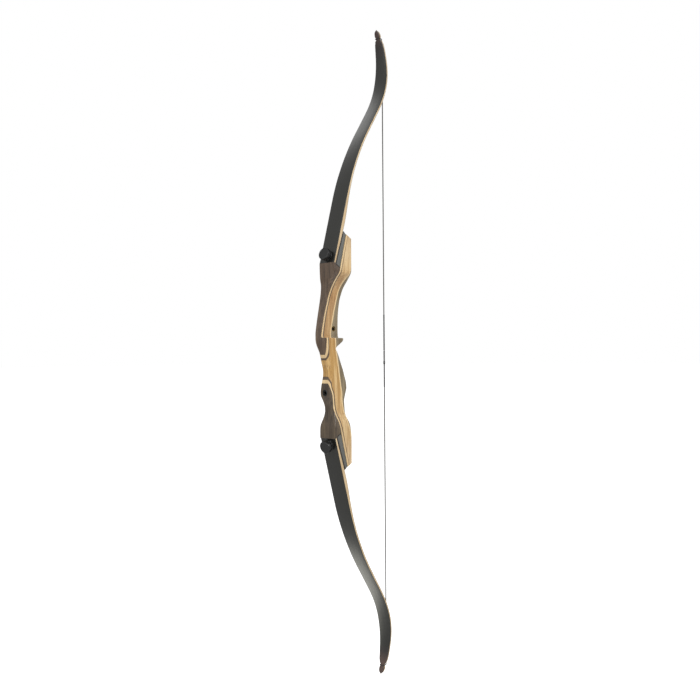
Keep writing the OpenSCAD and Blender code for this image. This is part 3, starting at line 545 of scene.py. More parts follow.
def riser_layer(z_from, z_to, front, rear, end_above=None, end_below=None):
    """Rings between two seams. An end is a pair: the height where the rings start to lean, the end line."""
    low = end_below[0] if end_below else z_from
    high = end_above[0] if end_above else z_to
    # A ring every 2.5 mm, and finer ones through the rounded edge of the shelf and the hollow above it
    inner = np.concatenate([np.arange(-260, 260, 2.5), np.arange(SHELF_Z - 2.4, SHELF_Z, 0.3),
                            np.arange(SHELF_Z + 0.4, SHELF_Z + 4, 0.4)])
    inner = np.sort(inner[(inner > low + 0.2) & (inner < high - 0.2) & (np.abs(inner - SHELF_Z) > 0.1)])
    stations = [(z, z > SHELF_Z, None, 0) for z in np.concatenate([[low], inner, [high]])]
    if low < SHELF_Z < high:
        k = sum(1 for station in stations if station[0] < SHELF_Z)
        stations[k:k] = [(SHELF_Z, False, None, 0), (SHELF_Z + 0.05, True, None, 0)]
    share = np.linspace(0, 1, 9)[1:]
    if end_above:
        stations += [(high, True, end_above[1], t) for t in share]
    if end_below:
        stations[:0] = [(low, False, end_below[1], t) for t in share[::-1]]
    rings = []
    for z0, above, end_line, t in stations:
        z = np.full(len(SIDE_PART), float(z0))
        # On a leaning end the height depends on y and y on the height, so a few rounds settle them
        for _ in range(6 if end_line else 1):
            yf, yb = front_line(z), belly_line(z)
            y0 = np.clip(front(z), yf, yb)
            span = np.maximum(np.clip(rear(z), yf, yb) - y0, 1e-3)
            first = np.clip(yf + front_bevel(z), y0 + 0.12 * span, y0 + 0.5 * span)
            second = np.clip(yb - belly_round(z), first + 0.12 * span, y0 + 0.88 * span)
            y = np.where(SIDE_PART < 1, y0 + (first - y0) * SIDE_PART,
                         np.where(SIDE_PART < 2, first + (second - first) * (SIDE_PART - 1),
                                  second + (y0 + span - second) * (SIDE_PART - 2)))
            if end_line:
                z = z0 + (np.sign(z0) * end_line(y) - z0) * t
        cut = corner_cut(y, z)
        right = np.stack([right_edge(z, above) - cut, y, z], -1)
        left = np.stack([cut - left_edge(z), y, z], -1)
        rings.append(np.concatenate([right, left[::-1]]))
    return np.array(rings)


def where_thick(front, rear, low, high, least=0.05):
    """The heights between which a layer has any thickness inside the riser's outline."""
    z = np.arange(low, high, 0.25)
    yf, yb = front_line(z), belly_line(z)
    thick = np.clip(rear(z), yf, yb) - np.clip(front(z), yf, yb) > least
    return z[thick][0], z[thick][-1]


def plane_at(y):
    """A seam outside the wood, for a layer that reaches the riser's own outline."""
    return lambda z: np.full(np.shape(z), float(y))


before, behind = plane_at(-200), plane_at(200)
block_lean, wood_lean = (LEAN_FROM_BLOCK, block_end), (LEAN_FROM_END, wood_end)
low_block_lean, low_wood_lean = (-LEAN_FROM_BLOCK, block_end), (-LEAN_FROM_END, wood_end)
riser_plan = {
    "riser_core": (core_front, belly_pale, -260, 260, wood_lean, low_wood_lean),
    "upper_front_block": (before, upper_seam, GRIP_MIDDLE_Z, 260, block_lean, None),
    "lower_front_block": (before, lower_seam, -260, GRIP_MIDDLE_Z, None, low_block_lean),
    "belly_block": (belly_seam, behind, -230, 230, None, None),
    "belly_pale_veneer": (belly_pale, belly_seam, -230, 230, None, None),
    "upper_pale_veneer": (upper_seam, upper_pale, GRIP_MIDDLE_Z, 260, wood_lean, None),
    "upper_dark_veneer": (upper_pale, upper_dark, GRIP_MIDDLE_Z, 260, wood_lean, None),
    "lower_pale_veneer": (lower_seam, lower_pale, -260, GRIP_MIDDLE_Z, None, low_wood_lean),
    "lower_dark_veneer": (lower_pale, lower_dark, -260, GRIP_MIDDLE_Z, None, low_wood_lean),
}
for name, (front, rear, low, high, end_above, end_below) in riser_plan.items():
    start, stop = where_thick(front, rear, low, high)
    rings = riser_layer(start, stop, front, rear, end_above, end_below)
    pieces[name] = obj = loft(name + "_wood", rings, sharp=25)
    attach(obj, "riser")
    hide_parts(name)
    print(name, round(start, 1), round(stop, 1))

# %% [markdown]
# ## Pads, bolts and bushings
#
# Each limb lies on a grey wedge in its pocket, edged by a thin black liner whose near-black is partly painted
# shade: it also stands for the shadow in the gap round the pad. Both are side outlines pushed straight across
# the bow, with their edges eased a little.

# %% Pads and liners
PAD_S = 76


def belly_point(s, out=0.0):
    """A point on the limb's belly, or out from it, as (y, z)."""
    return np.array(limb_point(s, belly_depth(s) + out))


def meet(p, p_way, q, q_way):
    """Where two lines in side view cross."""
    share = np.linalg.solve(np.stack([p_way, -q_way], 1), q - p)
    return p + share[0] * p_way


def inset(outline, distance):
    """An outline in side view drawn in by a distance, corner by corner."""
    way = np.roll(outline, -1, 0) - outline
    way /= np.linalg.norm(way, axis=1)[:, None]
    square = np.stack([-way[:, 1], way[:, 0]], -1)
    before_square = np.roll(square, 1, 0)
    both = before_square + square
    turn = np.sign(np.cross(way, np.roll(way, -1, 0)).sum())
    return outline + turn * distance * both / (1 + (square * before_square).sum(1))[:, None]


def slab(outline, wide, ease):
    """A side outline pushed across the bow from -wide to wide, its long edges rounded off."""
    outline = np.array(outline, float)
    rings = []
    for side, angles in ((-1, np.linspace(math.pi / 2, 0, 4)), (1, np.linspace(0, math.pi / 2, 4))):
        for a in angles:
            ring = inset(outline, ease * (1 - math.cos(a)))
            x = side * (wide - ease * (1 - math.sin(a)))
            rings.append(np.column_stack([np.full(len(ring), x), ring]))
    return np.array(rings)


lean_way = limb_way(0, 1)[1:]
floor_way = np.array([POCKET_SLOPE, 1.0])
pad_end_way = np.array([1.0, -PAD_END_SLOPE])
liner_corner = np.array([liner_corner_y, liner_corner_z])
floor_point = np.array([POCKET_Y, BUTT_Z])
liner_floor = meet(liner_corner, pad_end_way, floor_point, floor_way)
pad_end = liner_corner + LINER_T * np.array([math.sin(PAD_END_ANGLE), math.cos(PAD_END_ANGLE)])
pad_corner = meet(pad_end, pad_end_way, belly_point(0, LINER_T), lean_way)
pad_floor = meet(pad_end, pad_end_way, floor_point, floor_way)
pad_tip = np.array([pocket_floor(WOOD_END_Z), WOOD_END_Z])
resting = list(np.linspace(12, PAD_S, 9))
liner_top = [belly_point(s, LINER_T) for s in resting]
pad_outline = [pad_corner] + liner_top + [pad_tip, pad_floor]
liner_outline = ([liner_corner] + [belly_point(s) for s in [0] + resting] + liner_top[::-1]
                 + [pad_corner, pad_floor, liner_floor])
for side_name, side in SIDES:
    for kind, outline, ease in (("limb_pad", pad_outline, 0.6), ("pad_liner", liner_outline, 0.3)):
        name = f"{side_name}_{kind}"
        pieces[name] = loft(name + "_shape", on_side(side, slab(outline, LIMB_W / 2, ease)))
        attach(pieces[name], "riser")
        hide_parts(name)

# %% [markdown]
# Round things are turned on a lathe: a profile of radius and height is spun about an axis. A thread is
# the same thing with the radius waving as it goes round, one wave for each pitch of height.

# %% Lathe
def axis_frame(axis):
    """Two directions square to an axis."""
    axis = np.asarray(axis, float)
    first = np.cross(axis, [0.3, 0.1, 1] if abs(axis[2]) < 0.9 else [1, 0, 0.1])
    first /= np.linalg.norm(first)
    return first, np.cross(axis, first)


def circle_angles(sides):
    return np.arange(sides) * 2 * math.pi / sides


def around(angle, first, second):
    """The way out at each angle, between two directions that lie square to each other."""
    return np.cos(angle)[:, None] * first + np.sin(angle)[:, None] * second


def lathe(name, profile, origin, axis, sides=72, looped=False, wave=None, sharp=35):
    """Spin a list of (radius, height). wave(height, angle) is added to the radius where it is given."""
    angle = circle_angles(sides)
    radius, height = np.array(profile, float).T
    radius = radius[:, None] + (wave(height[:, None], angle) if wave else 0 * angle)
    rings = (np.asarray(origin, float) + height[:, None, None] * np.asarray(axis, float)
             + radius[..., None] * around(angle, *axis_frame(axis)))
    return loft(name, rings, sharp, looped)


def rounded(corners, radius, steps=5):
    """A profile whose inner corners are rounded off."""
    corners = np.array(corners, float)
    out = [corners[0]]
    for before_it, here, after in zip(corners[:-2], corners[1:-1], corners[2:]):
        a, b = before_it - here, after - here
        reach_a = min(radius, np.linalg.norm(a) * 0.45)
        reach_b = min(radius, np.linalg.norm(b) * 0.45)
        p, q = here + a / np.linalg.norm(a) * reach_a, here + b / np.linalg.norm(b) * reach_b
        for t in np.linspace(0, 1, steps):
            out.append((1 - t) ** 2 * p + 2 * t * (1 - t) * here + t * t * q)
    out.append(corners[-1])
    return out


def drill(obj, cutter):
    """Cut one closed mesh out of another and throw the cutter away."""
    cut = obj.modifiers.new("cut", "BOOLEAN")
    cut.operation, cut.solver, cut.object = "DIFFERENCE", "EXACT", cutter
    with bpy.context.temp_override(object=obj, active_object=obj, selected_objects=[obj]):
        bpy.ops.object.modifier_apply(modifier=cut.name)
    bpy.data.objects.remove(cutter)
    obj.data.set_sharp_from_angle(angle=math.radians(30))


# %% [markdown]
# The limb bolt has a black knob: a thick cap over a shallow groove and a foot. Its steel shaft is
# threaded, and a washer lies between the knob and the limb.

# %% Knobs, bolts and washers
BOLT_S, BOLT_R, BOLT_L, PITCH, THREAD_DEPTH = 16, 4.0, 33, 1.25, 0.62
KNOB_R, KNOB_H, KNOB_FOOT = 13.5, 14, 2.2
WASHER_R, WASHER_BORE, WASHER_T, GAP = 11, 4.5, 1.6, 0.05
bolt_y, bolt_z = limb_point(BOLT_S, 0)
KNOB_BASE = WASHER_T + 2 * GAP


def thread_wave(height, angle, pitch):
    """A V thread, 0 to 1: a triangle wave that climbs one pitch in each turn."""
    return np.abs(2 * ((height / pitch - angle / (2 * math.pi)) % 1) - 1)


def bolt_wave(height, angle):
    cut = (height < KNOB_BASE + 0.2) * (height > KNOB_BASE - BOLT_L + 0.05)
    return -THREAD_DEPTH * thread_wave(height, angle, PITCH) * cut


knob_profile = rounded([(r, KNOB_BASE + h) for r, h in (
    (4.05, 0), (KNOB_R - 1.5, 0), (KNOB_R - 1.5, KNOB_FOOT), (KNOB_R - 3.2, KNOB_FOOT + 0.6),
    (KNOB_R - 3.2, KNOB_FOOT + 1.8), (KNOB_R, KNOB_FOOT + 3), (KNOB_R, KNOB_H), (KNOB_R - 2.4, KNOB_H),
    (KNOB_R - 2.8, KNOB_H - 0.3), (1, KNOB_H - 0.3))], 0.9)
heights = np.arange(KNOB_BASE - BOLT_L, KNOB_BASE, PITCH / 8)
shaft = ([(2.4, heights[0])]
         + [(BOLT_R - 0.9 * clamp01(1 - (h - heights[0]) / 1.5), h) for h in heights + 0.1]
         + [(BOLT_R - 0.02, KNOB_BASE + 0.3), (BOLT_R - 0.02, KNOB_BASE + 4)])
rim = rounded([(r, GAP + h) for r, h in (
    (WASHER_BORE, WASHER_T / 2), (WASHER_BORE, 0), (WASHER_R, 0), (WASHER_R, WASHER_T),
    (WASHER_BORE, WASHER_T), (WASHER_BORE, WASHER_T / 2))], 0.3, 4)[:-1]
for side_name, side in SIDES:
    origin = (0, bolt_y, side * bolt_z)
    axis = np.array([0, -math.cos(heading(0)), side * math.sin(heading(0))])
    knob = lathe(side_name + "_knob_turned", knob_profile, origin, axis)
    bolt = lathe(side_name + "_bolt_shaft", shaft, origin, axis, sides=32, wave=bolt_wave, sharp=60)
    washer = lathe(side_name + "_washer_ring", rim, origin, axis, looped=True)
    for obj, node, body in ((knob, "_knob", "_knob"), (bolt, "_bolt", "_knob"), (washer, "_washer", "_washer")):
        pieces[side_name + node] = obj
        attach(obj, side_name + body)
        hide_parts(side_name + node)

# %% [markdown]
# Two threaded bushings are let into the wood: a brass one through the sight window for a plunger, and a
# black one in the front for a stabilizer. The wood is drilled first, and the bores carry a thread.

# %% Bushings
PLUNGER_Y, PLUNGER_Z, PLUNGER_R, PLUNGER_END = 1.8, 47, 5.8, -2.6
STABILIZER_Z, STABILIZER_R, STABILIZER_L, BORE_R, BORE_L = -91, 6.8, 28, 3.5, 22
BORE_PITCH, BORE_THREAD_DEPTH = 25.4 / 24, 0.32
plunger_from = -float(left_edge(PLUNGER_Z))
plunger_length = PLUNGER_END - plunger_from
stabilizer_from = float(front_line(STABILIZER_Z))


def bore_wave(length):
    """The thread in a bore, which stops 1 mm short of both ends."""
    return lambda h, a: BORE_THREAD_DEPTH * thread_wave(h, a, BORE_PITCH) * (h > 1) * (h < length - 1)


def bore_threads(start, end, step):
    return [(BORE_R, h) for h in np.arange(start, end, step)]


drill(pieces["belly_block"], lathe("cutter", [(PLUNGER_R, plunger_from - 8), (PLUNGER_R, 8)],
                                   (0, PLUNGER_Y, PLUNGER_Z), (1, 0, 0), sides=48))
for name in ("lower_front_block", "lower_pale_veneer", "lower_dark_veneer", "riser_core"):
    drill(pieces[name], lathe("cutter", [(STABILIZER_R, -6), (STABILIZER_R, STABILIZER_L)],
                              (0, stabilizer_from, STABILIZER_Z), (0, 1, 0), sides=48))
tube = ([(PLUNGER_R, 0.5), (PLUNGER_R, plunger_length - 0.4), (PLUNGER_R - 0.4, plunger_length),
         (BORE_R + 0.7, plunger_length), (BORE_R + 0.3, plunger_length - 0.8)]
        + bore_threads(plunger_length - 1.2, 1.2, -BORE_PITCH / 8)
        + [(BORE_R + 0.3, 0.8), (BORE_R + 0.7, 0), (PLUNGER_R - 0.4, 0)])
bushing = lathe("plunger_bush", tube, (plunger_from, PLUNGER_Y, PLUNGER_Z), (1, 0, 0), sides=48, looped=True,
                wave=bore_wave(plunger_length), sharp=50)
blind = ([(STABILIZER_R - 0.5, STABILIZER_L), (STABILIZER_R, STABILIZER_L - 0.5), (STABILIZER_R, 0.5),
          (STABILIZER_R - 0.5, 0.05), (BORE_R + 0.8, 0.05), (BORE_R + 0.3, 0.8)]
         + bore_threads(1.2, BORE_L - 1, BORE_PITCH / 8) + [(BORE_R, BORE_L), (0.5, BORE_L)])
black_bushing = lathe("stabilizer_bush", blind, (0, stabilizer_from, STABILIZER_Z), (0, 1, 0), sides=48,
                      wave=bore_wave(BORE_L), sharp=50)
for name, obj in (("plunger_bushing", bushing), ("stabilizer_bushing", black_bushing)):
    pieces[name] = obj
    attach(obj, "riser")
    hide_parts(name)

# %% [markdown]
# ## String
#
# The string is a bundle of waxed strands with a slight twist. It lies in the groove of the recurve,
# leaves the limb where the belly reaches furthest back, and is wrapped with thread round its middle.
# Near the nock it parts into two legs, and a loop of it holds in the notches.

# %% Cord
STRING_R, SERVING_R, LEG_R, KNOT_R = 1.3, 1.6, 1.0, 2.1
SERVING_L, KNOT_Z, KNOT_L, LEG_L = 85, -28.5, 7, 36


def run_length(path):
    """How far along the path each of its points lies."""
    return np.concatenate([[0], np.cumsum(np.linalg.norm(np.diff(path, axis=0), axis=1))])


def through_points(points, step):
    """A smooth path through points in space, one Hermite piece between each pair."""
    points = np.array(points, float)
    length = run_length(points)
    slope = np.gradient(points, length, axis=0)
    places = np.linspace(0, length[-1], max(3, int(length[-1] / step) + 1))
    i = step_before(length, places)
    h = (length[i + 1] - length[i])[:, None]
    return hermite((places - length[i])[:, None] / h, h, points[i], points[i + 1], slope[i], slope[i + 1])


def cord(name, path, radius, strands=6, pitch=14.0, relief=0.12, sides=24, across=(1, 0, 0), wrap=0.0,
         shape=None):
    """A tube along a path. Its section has a lobe for each strand, and the lobes climb with the twist.

    With wrap, the tube is instead a helix of fine thread with that pitch. shape may move the rings."""
    path = np.asarray(path, float)
    way = np.gradient(path, axis=0)
    way /= np.linalg.norm(way, axis=1)[:, None]
    first = np.cross(way, across)
    first /= np.linalg.norm(first, axis=1)[:, None]
    second = np.cross(way, first)
    place = run_length(path)[:, None]
    angle = circle_angles(sides)
    if wrap:
        lobes = np.sqrt(np.maximum(0, 1 - thread_wave(place, angle, wrap) ** 2))
    else:
        lobes = np.abs(np.cos(strands / 2 * (angle - 2 * math.pi * place / pitch)))
    r = radius * (1 - relief + relief * lobes)
    rings = path[:, None] + r[..., None] * around(angle, first[:, None], second[:, None])
    return loft(name, shape(rings) if shape else rings, sharp=80)


# %% The string's line and its pieces
# The tilt of each half at full draw, with 2 degrees to spare, and how far along the cut reaches
DRAWN_TILT, END_CUT_L = math.radians(31), 6
search = np.arange(TURN_FROM, NOCK_S, 0.5)
contact_s = float(search[np.argmax([belly_point(s)[0] for s in search])])
string_y, contact_z = belly_point(contact_s)
leg_from = NOCK_S - LEG_L
clear = LEG_R + 0.3
nock_z = float(np.interp(NOCK_S, line_s, line_z))
nock_back = float(np.interp(NOCK_S, line_s, line_y))
nock_y = belly_point(NOCK_S)[0] - LEG_R
leg_x = NOCK_W / 2 + clear
print("string leaves the limb at", round(string_y, 2), round(contact_z, 2))


def on_belly(x, s, out):
    y, z = belly_point(s, out)
    return [x, y, z]


def room_to_bend(rings):
    """Both halves of the string tilt by 29 degrees at full draw, so each end is cut back on the bow's side.

    z' = z + tan(31) * (how far the point lies to the bow's side) * (1 - z / 6)"""
    along = np.abs(rings[..., 2])
    cut = np.maximum(0, string_y - rings[..., 1]) * math.tan(DRAWN_TILT)
    rings[..., 2] = np.sign(rings[..., 2]) * (along + cut * clamp01(1 - along / END_CUT_L))
    return rings


lying = [on_belly(0, s, 0) for s in np.arange(contact_s + 6, leg_from - 3, 6)] + [on_belly(0, leg_from + 1, 0)]
free = [[0, string_y, z] for z in np.linspace(SERVING_L - 1, contact_z, 60)]
whole = through_points(free + lying, 1.5)
# One leg of the loop, from the strands out to the notch, and over the back of the tip to the middle
over_back = ((leg_x, 1.6), (leg_x - 1, -0.9), (leg_x - 2.6, -1.15), (0, -1.2))
half_loop = np.array(
    [on_belly(0.7, leg_from - 1, 0.5), on_belly(LEG_R * 0.9, leg_from + 3, clear)]
    + [on_belly(leg_x * share, leg_from + LEG_L * along, clear)
       for share, along in ((0.3, 0.22), (0.45, 0.4), (0.66, 0.58), (0.85, 0.75), (1.0, 0.93))]
    + [[leg_x, nock_y + 0.2, nock_z - 0.4], [leg_x, nock_y - 2, nock_z]]
    + [[x, nock_back + y, nock_z] for x, y in over_back])
bight = through_points(np.concatenate([half_loop, half_loop[-2::-1] * [-1, 1, 1]]), 0.6)
for side_name, side in SIDES:
    strand = cord(side_name + "_strands", on_side(side, whole), STRING_R)
    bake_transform(strand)
    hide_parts(side_name + "_string")
    loop = cord(side_name + "_bight", on_side(side, bight), LEG_R, strands=4, pitch=9, across=(0.05, 0.25, 1))
    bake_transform(loop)
    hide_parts(side_name + "_string_end", side_name + "_loop")
    served = through_points([[0, string_y, side * z] for z in (0.2, 20, 50, SERVING_L)], 0.09)
    serving = cord(side_name + "_serving_wrap", served, SERVING_R, relief=0.1, sides=20, wrap=0.55,
                   shape=room_to_bend)
    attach(serving, side_name + "_string_half")
    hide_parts(side_name + "_serving", side_name + "_string_middle")
    pieces.update({side_name + "_strand": strand, side_name + "_loop": loop, side_name + "_serving": serving})
knot_line = [[0, string_y, z] for z in np.linspace(KNOT_Z - KNOT_L / 2, KNOT_Z + KNOT_L / 2, 4)]
knot = cord("knot_wrap", through_points(knot_line, 0.1), KNOT_R, relief=0.16, wrap=0.8)
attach(knot, "lower_string_half")
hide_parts("serving_knot")
pieces["knot"] = knot

# %% [markdown]
# ## Materials
#
# Wood is drawn from long thin noise: the grain runs with the bow, so the noise is stretched along Z.
# Two layers make it: broad drifts of colour, and fine streaks that also roughen the surface a little.
# The same recipe with other colours and strengths gives every timber, and some change along the bow. Part of
# that change is painted light: the riser core's lower end is painted lighter where shade falls on it.

# %% Node helpers
def colour(rgb):
    """Screen colour, 0 to 255, to the linear light that a shader takes."""
    c = np.array(rgb, float) / 255
    linear = np.where(c <= 0.04045, c / 12.92, ((c + 0.055) / 1.055) ** 2.4)
    return (*map(float, linear), 1.0)


def feed(node, socket, value):
    """Link a socket, found by its name or number, to another node's output, or else give it a value."""
    if isinstance(value, bpy.types.NodeSocket):
        node.id_data.links.new(value, node.inputs[socket])
    else:
        node.inputs[socket].default_value = value


def fill(node, **sockets):
    """Feed a node's sockets by name, with an underscore for each blank."""
    for key, value in sockets.items():
        feed(node, key.replace("_", " "), value)
    return node


def add(tree, kind, **sockets):
    return fill(tree.nodes.new(kind), **sockets)


def new_material(name, base, rough, metal=0.0, coat=0.0, specular=0.5):
    material = bpy.data.materials.new(name)
    material.use_nodes = True
    shader = fill(material.node_tree.nodes["Principled BSDF"], Base_Color=colour(base), Roughness=rough,
                  Metallic=metal, Coat_Weight=coat, Coat_Roughness=0.15, Specular_IOR_Level=specular)
    return material, material.node_tree, shader


def stretched_noise(tree, scale, size, detail=4.0, rough=0.5, shift=0.0):
    """Noise in object space, its lengths divided by the three numbers of scale (per metre)."""
    place = add(tree, "ShaderNodeTexCoord").outputs["Object"]
    drawn = add(tree, "ShaderNodeMapping", Vector=place, Scale=scale,
                Location=(shift, shift * 1.7, shift * 0.6))
    return add(tree, "ShaderNodeTexNoise", Vector=drawn.outputs["Vector"], Scale=size, Detail=detail,
               Roughness=rough).outputs["Fac"]


def ramp(tree, factor, *stops):
    """A colour ramp; each stop is (place, screen colour)."""
    node = add(tree, "ShaderNodeValToRGB", Fac=factor)
    band = node.color_ramp
    while len(band.elements) < len(stops):
        band.elements.new(0.5)
    for element, (place, rgb) in zip(band.elements, stops):
        element.position = place
        element.color = colour(rgb)
    return node.outputs["Color"]


def mottle(tree, shader, noise, dark, light, low=0.35):
    """Let the base colour drift between two tones with the noise."""
    fill(shader, Base_Color=ramp(tree, noise, (low, dark), (1 - low, light)))


def multiplied(tree, factor, amount):
    node = tree.nodes.new("ShaderNodeMath")
    node.operation = "MULTIPLY"
    feed(node, 0, factor)
    feed(node, 1, amount)
    return node.outputs[0]


def blend_colours(tree, first, second, factor):
    """Mix two colours. This node's sockets share their names, so they go by number."""
    node = tree.nodes.new("ShaderNodeMix")
    node.data_type = "RGBA"
    for socket, value in ((0, factor), (6, first), (7, second)):
        feed(node, socket, value)
    return node.outputs[2]


def bump(tree, shader, height, depth):
    node = add(tree, "ShaderNodeBump", Height=height, Strength=0.5, Distance=depth)
    fill(shader, Normal=node.outputs["Normal"])


# %% Wood
def by_height(tree, low, high, *stops):
    """Colours laid along Z between two heights in millimetres."""
    place = add(tree, "ShaderNodeTexCoord").outputs["Object"]
    up = add(tree, "ShaderNodeSeparateXYZ", Vector=place).outputs["Z"]
    spread = add(tree, "ShaderNodeMapRange", Value=up, From_Min=low * MM, From_Max=high * MM)
    return ramp(tree, spread.outputs["Result"], *[((z - low) / (high - low), rgb) for z, rgb in stops])


def wood(name, dark, middle, light, streak, streaks=0.5, rough=0.36, coat=0.25, shift=0.0, fine=1.0,
         heights=None, tint=0.7, reach=255):
    """A timber: drifting colour between three tones, crossed by fine streaks of a fourth.

    heights is a list of (height, colour) for timber whose colour changes along the bow."""
    material, tree, shader = new_material(name, middle, rough, coat=coat)
    drift = stretched_noise(tree, (1, 1, 0.10), 70 * fine, 3, 0.5, shift)
    tone = ramp(tree, drift, (0.32, dark), (0.5, middle), (0.68, light))
    if heights:
        tone = blend_colours(tree, tone, by_height(tree, -reach, reach, *heights), float(tint))
    lines = stretched_noise(tree, (1, 1, 0.028), 420 * fine, 5, 0.62, shift + 3)
    mask = ramp(tree, lines, (0.47, (0, 0, 0)), (0.66, (255, 255, 255)))
    dyed = tree.nodes.new("ShaderNodeRGB")
    dyed.outputs[0].default_value = colour(streak)
    fill(shader, Base_Color=blend_colours(tree, tone, dyed.outputs[0], multiplied(tree, mask, streaks)))
    bump(tree, shader, lines, 0.00012)
    return material


# Along the bow the core turns golden at the grip; the pale stops at its lower end (-250, -221) are painted
# light, lifting the shade on the lower tongue
core_wood = wood(
    "core_wood", (128, 90, 46), (178, 140, 88), (226, 198, 150), (118, 76, 36), 0.6, shift=1.9, fine=1.1,
    tint=0.5,
    heights=[(-250, (246, 225, 188)), (-221, (240, 216, 174)), (-190, (194, 166, 120)), (-150, (182, 150, 100)),
             (-118, (196, 160, 104)), (-20, (187, 144, 66)), (22, (185, 143, 72)), (34, (182, 149, 104)),
             (110, (184, 145, 100)), (138, (174, 137, 97)), (172, (196, 168, 124)), (205, (212, 190, 150)),
             (250, (218, 198, 160))])
upper_block_wood, lower_block_wood, belly_wood, pale_veneer, limb_wood = (
    wood(name, *tones, streaks, shift=shift) for name, tones, streaks, shift in (
        ("upper_block_wood", ((74, 58, 44), (92, 74, 58), (110, 92, 74), (46, 34, 24)), 0.75, 2),
        ("lower_block_wood", ((64, 52, 39), (80, 67, 52), (98, 84, 65), (38, 29, 20)), 0.75, 3),
        ("belly_wood", ((108, 95, 72), (126, 112, 87), (144, 130, 104), (86, 72, 51)), 0.55, 4),
        ("pale_veneer", ((200, 172, 128), (212, 184, 138), (223, 197, 152), (186, 156, 112)), 0.35, 5),
        ("limb_wood", ((186, 160, 120), (200, 175, 136), (212, 189, 152), (170, 140, 100)), 0.35, 7)))
dark_veneer = wood(
    "dark_veneer", (70, 57, 44), (84, 69, 55), (98, 82, 66), (58, 45, 34), 0.4, shift=6, tint=0.85,
    heights=[(-240, (176, 146, 106)), (-195, (150, 122, 88)), (-165, (92, 74, 56)), (165, (92, 74, 56)),
             (195, (156, 128, 92)), (240, (182, 152, 112))])

# %% [markdown]
# Limb glass is black resin over straight glass fibres. It is satin, and the fibres make very faint streaks
# along it. The overlay starts as dark as the glass and turns reddish brown towards the tip; the lower tip's
# overlay is painted lighter than the upper one's, which is painted light.

# %% Glass, metal and the rest
limb_glass, tree, shader = new_material("limb_glass", (19, 19, 17), 0.36, specular=0.64)
fill(shader, Specular_Tint=colour((255, 255, 249)))
fibres = stretched_noise(tree, (1, 0.2, 0.01), 900, 3, 0.6, 8)
mottle(tree, shader, fibres, (16, 16, 14), (22, 22, 20))
bump(tree, shader, fibres, 0.00004)

# painted light: the lower tip's stops (negative heights) are lighter than the upper tip's, for the light
# falling on the lower limb
overlay_wood = wood(
    "overlay", (50, 37, 32), (66, 50, 44), (80, 62, 55), (34, 25, 22), 0.4, shift=9, fine=1.4, tint=0.85,
    reach=760, heights=[(-752, (84, 64, 54)), (-724, (80, 62, 54)), (-702, (28, 27, 25)), (714, (21, 20, 19)),
                        (732, (62, 47, 42)), (752, (72, 54, 48))])

pad_grey, tree, shader = new_material("pad", (90, 90, 86), 0.55)
mottle(tree, shader, stretched_noise(tree, (1, 1, 0.05), 700, 3, 0.6, 10), (84, 84, 80), (96, 96, 92))
# partly painted shade: the liner's near-black also stands for the shadow in the gap between limb, pad and riser
liner_and_gap_shade, tree, shader = new_material("liner", (32, 26, 21), 0.5)
mottle(tree, shader, stretched_noise(tree, (1, 1, 1), 300, 3, 0.6, 11), (27, 22, 18), (40, 32, 26))


def metal(name, dark, light, rough, size=900.0, shift=0.0, metallic=1.0):
    """A metal or a hard finish whose shine varies a little from place to place."""
    material, tree, shader = new_material(name, dark, rough, metal=metallic)
    wear = stretched_noise(tree, (1, 1, 1), size, 3, 0.6, shift)
    mottle(tree, shader, wear, dark, light, 0.3)
    spread = add(tree, "ShaderNodeMapRange", Value=wear, To_Min=rough * 0.85, To_Max=rough * 1.15)
    fill(shader, Roughness=spread.outputs["Result"])
    return material


brass = metal("brass", (188, 156, 74), (208, 176, 92), 0.3, shift=12)
# painted shade: a dark, dull colour for the inside of the bores, where shade falls in the recess
painted_bore_shade = metal("painted_bore_shade", (30, 26, 20), (42, 36, 28), 0.6, shift=18, metallic=0.3)
steel = metal("steel", (168, 168, 170), (190, 190, 192), 0.3, shift=13)
black_steel = metal("black_steel", (46, 49, 49), (58, 61, 61), 0.45, shift=14)
knob_black = metal("knob", (14, 14, 14), (21, 21, 21), 0.3, size=1400, shift=15, metallic=0.0)
string_grey = metal("string", (62, 61, 56), (88, 86, 79), 0.6, size=2500, shift=16, metallic=0.0)
loop_brown = metal("loop", (40, 36, 33), (58, 52, 48), 0.7, size=2500, shift=18, metallic=0.0)
serving_black = metal("serving", (30, 30, 29), (48, 48, 46), 0.55, size=2500, shift=17, metallic=0.0)

# %% [markdown]
# Each finished piece now takes its material, and so do the inserts and pins hidden in the wood, which
# keep the frame's own meshes.

# %% Give out the materials
# By the end of a piece's name; the riser's core comes before the limbs' cores
finish = {
    "riser_core": core_wood, "_core": limb_wood, "_glass": limb_glass, "_tip_plate": overlay_wood,
    "upper_front_block": upper_block_wood, "lower_front_block": lower_block_wood, "belly_block": belly_wood,
    "_pale_veneer": pale_veneer, "_dark_veneer": dark_veneer, "_limb_pad": pad_grey, "_pad_liner": liner_and_gap_shade,
    "plunger_bushing": brass, "stabilizer_bushing": black_steel, "_knob": knob_black, "_bolt": steel,
    "_washer": steel, "_strand": string_grey, "_loop": loop_brown, "_serving": serving_black,
    "knot": serving_black,
}
for name, obj in pieces.items():
    material = next(finish[ending] for ending in finish if name.endswith(ending))
    obj.data.materials.clear()
    obj.data.materials.append(material)
for name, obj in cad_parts.items():
    if name.endswith("bolt_insert") or name.endswith("locating_pins"):
        obj.data.materials.clear()
        obj.data.materials.append(brass if name.endswith("insert") else steel)
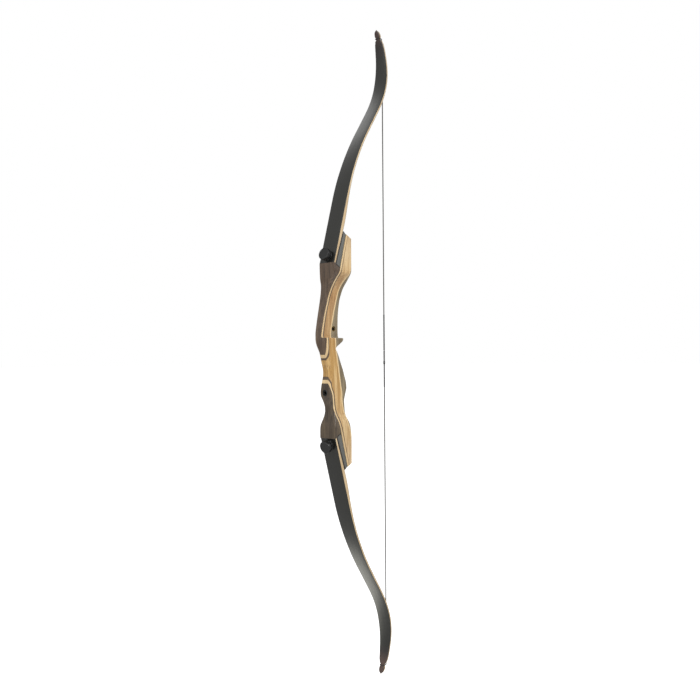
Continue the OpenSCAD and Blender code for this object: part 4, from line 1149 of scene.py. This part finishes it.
# The bores of both bushings get a dark material inside, painted shade for the deep recess; axis is the one they
# run along
for name, middle, axis in (("plunger_bushing", (0, PLUNGER_Y, PLUNGER_Z), 0),
                           ("stabilizer_bushing", (0, 0, STABILIZER_Z), 1)):
    mesh = pieces[name].data
    mesh.materials.append(painted_bore_shade)
    centre = np.empty(len(mesh.polygons) * 3)
    mesh.polygons.foreach_get("center", centre)
    across_bore = np.delete(centre.reshape(-1, 3) / MM - middle, axis, axis=1)
    inside = np.linalg.norm(across_bore, axis=1) < BORE_R + 0.5
    mesh.polygons.foreach_set("material_index", inside.astype(np.int32))
    mesh.update()
print("pieces with a finish", len(pieces))

# %% [markdown]
# ## Studio
#
# The bow stands upright before a white ground, lit like a catalogue picture. Two broad soft lights
# stand by the camera, the key to its right and the fill to its left. Two small ones do what a studio's
# panels do to the glass: "sheen" hangs behind the upper limb and "table" lies low in front of the lower one.

# %% Floor, world and lights
FLOOR_REACH, FLOOR_Z = 60000, -757
FLOOR_GLOW, WORLD_LIGHT = 0.85, 0.62
WHITE = (1, 1, 1, 1)
corners = [(x * FLOOR_REACH, y * FLOOR_REACH, FLOOR_Z) for x, y in ((-1, -1), (1, -1), (1, 1), (-1, 1))]
floor = new_piece("floor", corners, [(0, 1, 2, 3)])
floor_white, tree, shader = new_material("floor_white", (206, 206, 206), 1.0, specular=0.0)
# The floor only glows for the camera, so it shows white as in the photo and lights nothing
by_camera = add(tree, "ShaderNodeLightPath").outputs["Is Camera Ray"]
fill(shader, Emission_Color=WHITE, Emission_Strength=multiplied(tree, by_camera, FLOOR_GLOW))
floor.data.materials.append(floor_white)

world = bpy.data.worlds.new("studio")
bpy.context.scene.world = world
world.use_nodes = True
tree = world.node_tree
tree.nodes.clear()
# The camera sees a white world, and the bow is lit by a dimmer one
mix = add(tree, "ShaderNodeMixShader", Fac=add(tree, "ShaderNodeLightPath").outputs["Is Camera Ray"])
for socket, strength in ((1, WORLD_LIGHT), (2, 1.0)):
    feed(mix, socket, add(tree, "ShaderNodeBackground", Color=WHITE, Strength=strength).outputs[0])
add(tree, "ShaderNodeOutputWorld", Surface=mix.outputs[0])


def soft_light(name, right, back, up, size, power, tint=(1, 1, 1)):
    """A square light placed by the camera's right, towards the camera, and up, aimed at the grip."""
    data = bpy.data.lights.new(name, "AREA")
    data.shape, data.size, data.energy, data.color = "SQUARE", size, power, tint
    obj = new_object(name, data)
    obj.location = view_right * right + view_back * back + np.array([0, 0, up])
    obj.rotation_euler = (-obj.location).to_track_quat("-Z", "Y").to_euler()
    obj.visible_camera = False


soft_light("key", 2.0, 1.2, 1.3, 1.5, 47)
soft_light("sheen", -0.38, -0.6, 1.27, 0.4, 0.85)
soft_light("table", -0.08, -0.2, -0.745, 0.26, 0.47, (1, 0.99, 0.9))
soft_light("fill", -1.4, 1.8, 0.9, 1.5, 28)
